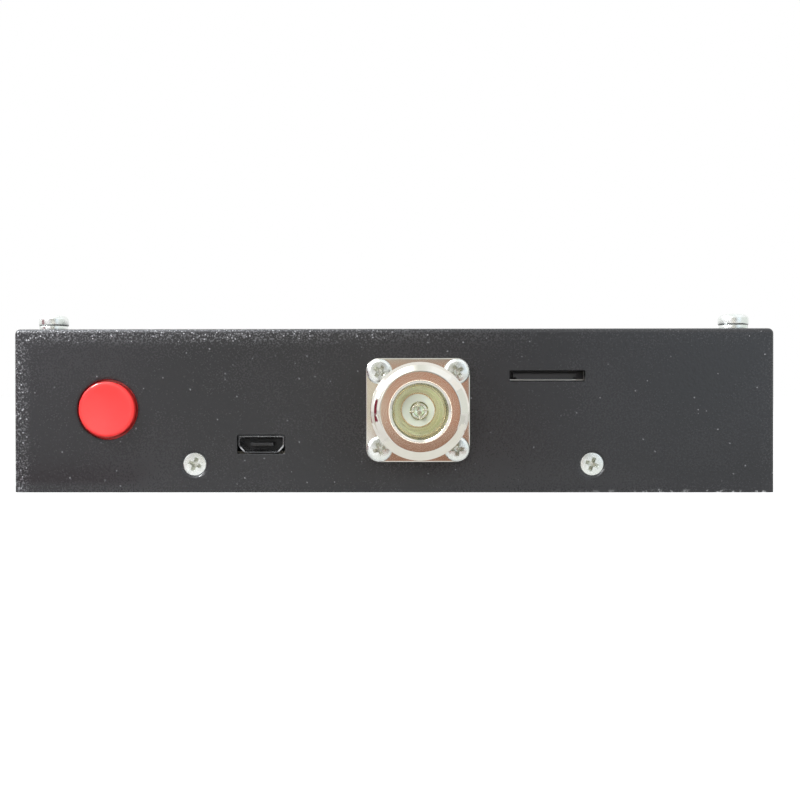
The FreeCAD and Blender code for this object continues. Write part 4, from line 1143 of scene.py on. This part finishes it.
def makeCap():
    front, radius, edge = cap["proud"], cap["radius"], cap["collarEdge"]
    collar, skirt, hollow = radius + cap["collar"], radius - cap["skirtInset"], radius - cap["hollowInset"]
    shares = [index / cap["dishSteps"] for index in range(cap["dishSteps"] + 1)]
    dish = [(cap["dish"] * share, front - cap["dishDepth"] * (1 - share ** 2)) for share in shares]
    mesh = turned(dish + [
        (radius, front, cap["rounding"]), (radius, cap["collarFrom"]), (collar, cap["collarFrom"], edge),
        (collar, cap["collarEnd"], edge), (skirt, cap["collarEnd"]), (skirt, cap["skirtEnd"]),
        (hollow, cap["skirtEnd"]), (hollow, cap["hollowEnd"]), (0, cap["hollowEnd"]),
    ])
    mesh = moved(mesh, onFace(case["button"]))
    finishPiece("redButtonCap", mesh, "red_cap", "power_button", "button_cap", sharpFrom=50)


# ---- USB socket shell

usb = {
    "wide": 7.5, "high": 2.6, "cut": 1.05, "bend": 0.25, "bendSteps": 3, "sheet": 0.25,
    "front": 0.7, "length": 5.6, "flare": 0.2, "flareLength": 0.6,
}


def makeUsbShell():
    x, y, cut = usb["wide"] / 2, usb["high"] / 2, usb["cut"]
    mesh = bmesh.new()
    outline = [(-x, y), (-x, cut - y), (cut - x, -y), (x - cut, -y), (x, cut - y), (x, y)]
    points = [mesh.verts.new((a, b, -usb["front"] - usb["length"])) for a, b in outline]
    for first, second in zip(points, points[1:] + points[:1]):
        mesh.edges.new((first, second))
    bevelled(mesh, points, usb["bend"], usb["bendSteps"], "VERTICES")
    ring = mesh.edges[:]
    for length, flare in ((usb["length"] - usb["flareLength"], 0.0), (usb["flareLength"], usb["flare"])):
        grown = bmesh.ops.extrude_edge_only(mesh, edges=ring)["geom"]
        ring = [item for item in grown if isinstance(item, bmesh.types.BMEdge)]
        front = [item for item in grown if isinstance(item, bmesh.types.BMVert)]
        bmesh.ops.translate(mesh, verts=front, vec=(0, 0, length))
        bmesh.ops.scale(mesh, verts=front, vec=(1 + flare / x, 1 + flare / y, 1))
    bmesh.ops.recalc_face_normals(mesh, faces=mesh.faces)
    side = mesh.faces[:][0]
    if side.normal.dot(side.calc_center_median() * Vector((1, 1, 0))) < 0:
        bmesh.ops.reverse_faces(mesh, faces=mesh.faces)
    bmesh.ops.solidify(mesh, geom=mesh.faces[:], thickness=usb["sheet"])
    mesh = moved(mesh, onFace(case["usb"]))
    finishPiece("usbShell", mesh, "plated_steel", "case", "usb_socket_shell", sharpFrom=40)


bpy.context.scene.view_settings.view_transform = "Standard"
addSky()
addLamps()
addCamera()
addStage()
finishes = finishNodes()
makeCase()
makeFrontScrews()
makeCoverScrews()
makeConnector()
makeFlangeScrews()
makeContact()
makeCap()
makeUsbShell()
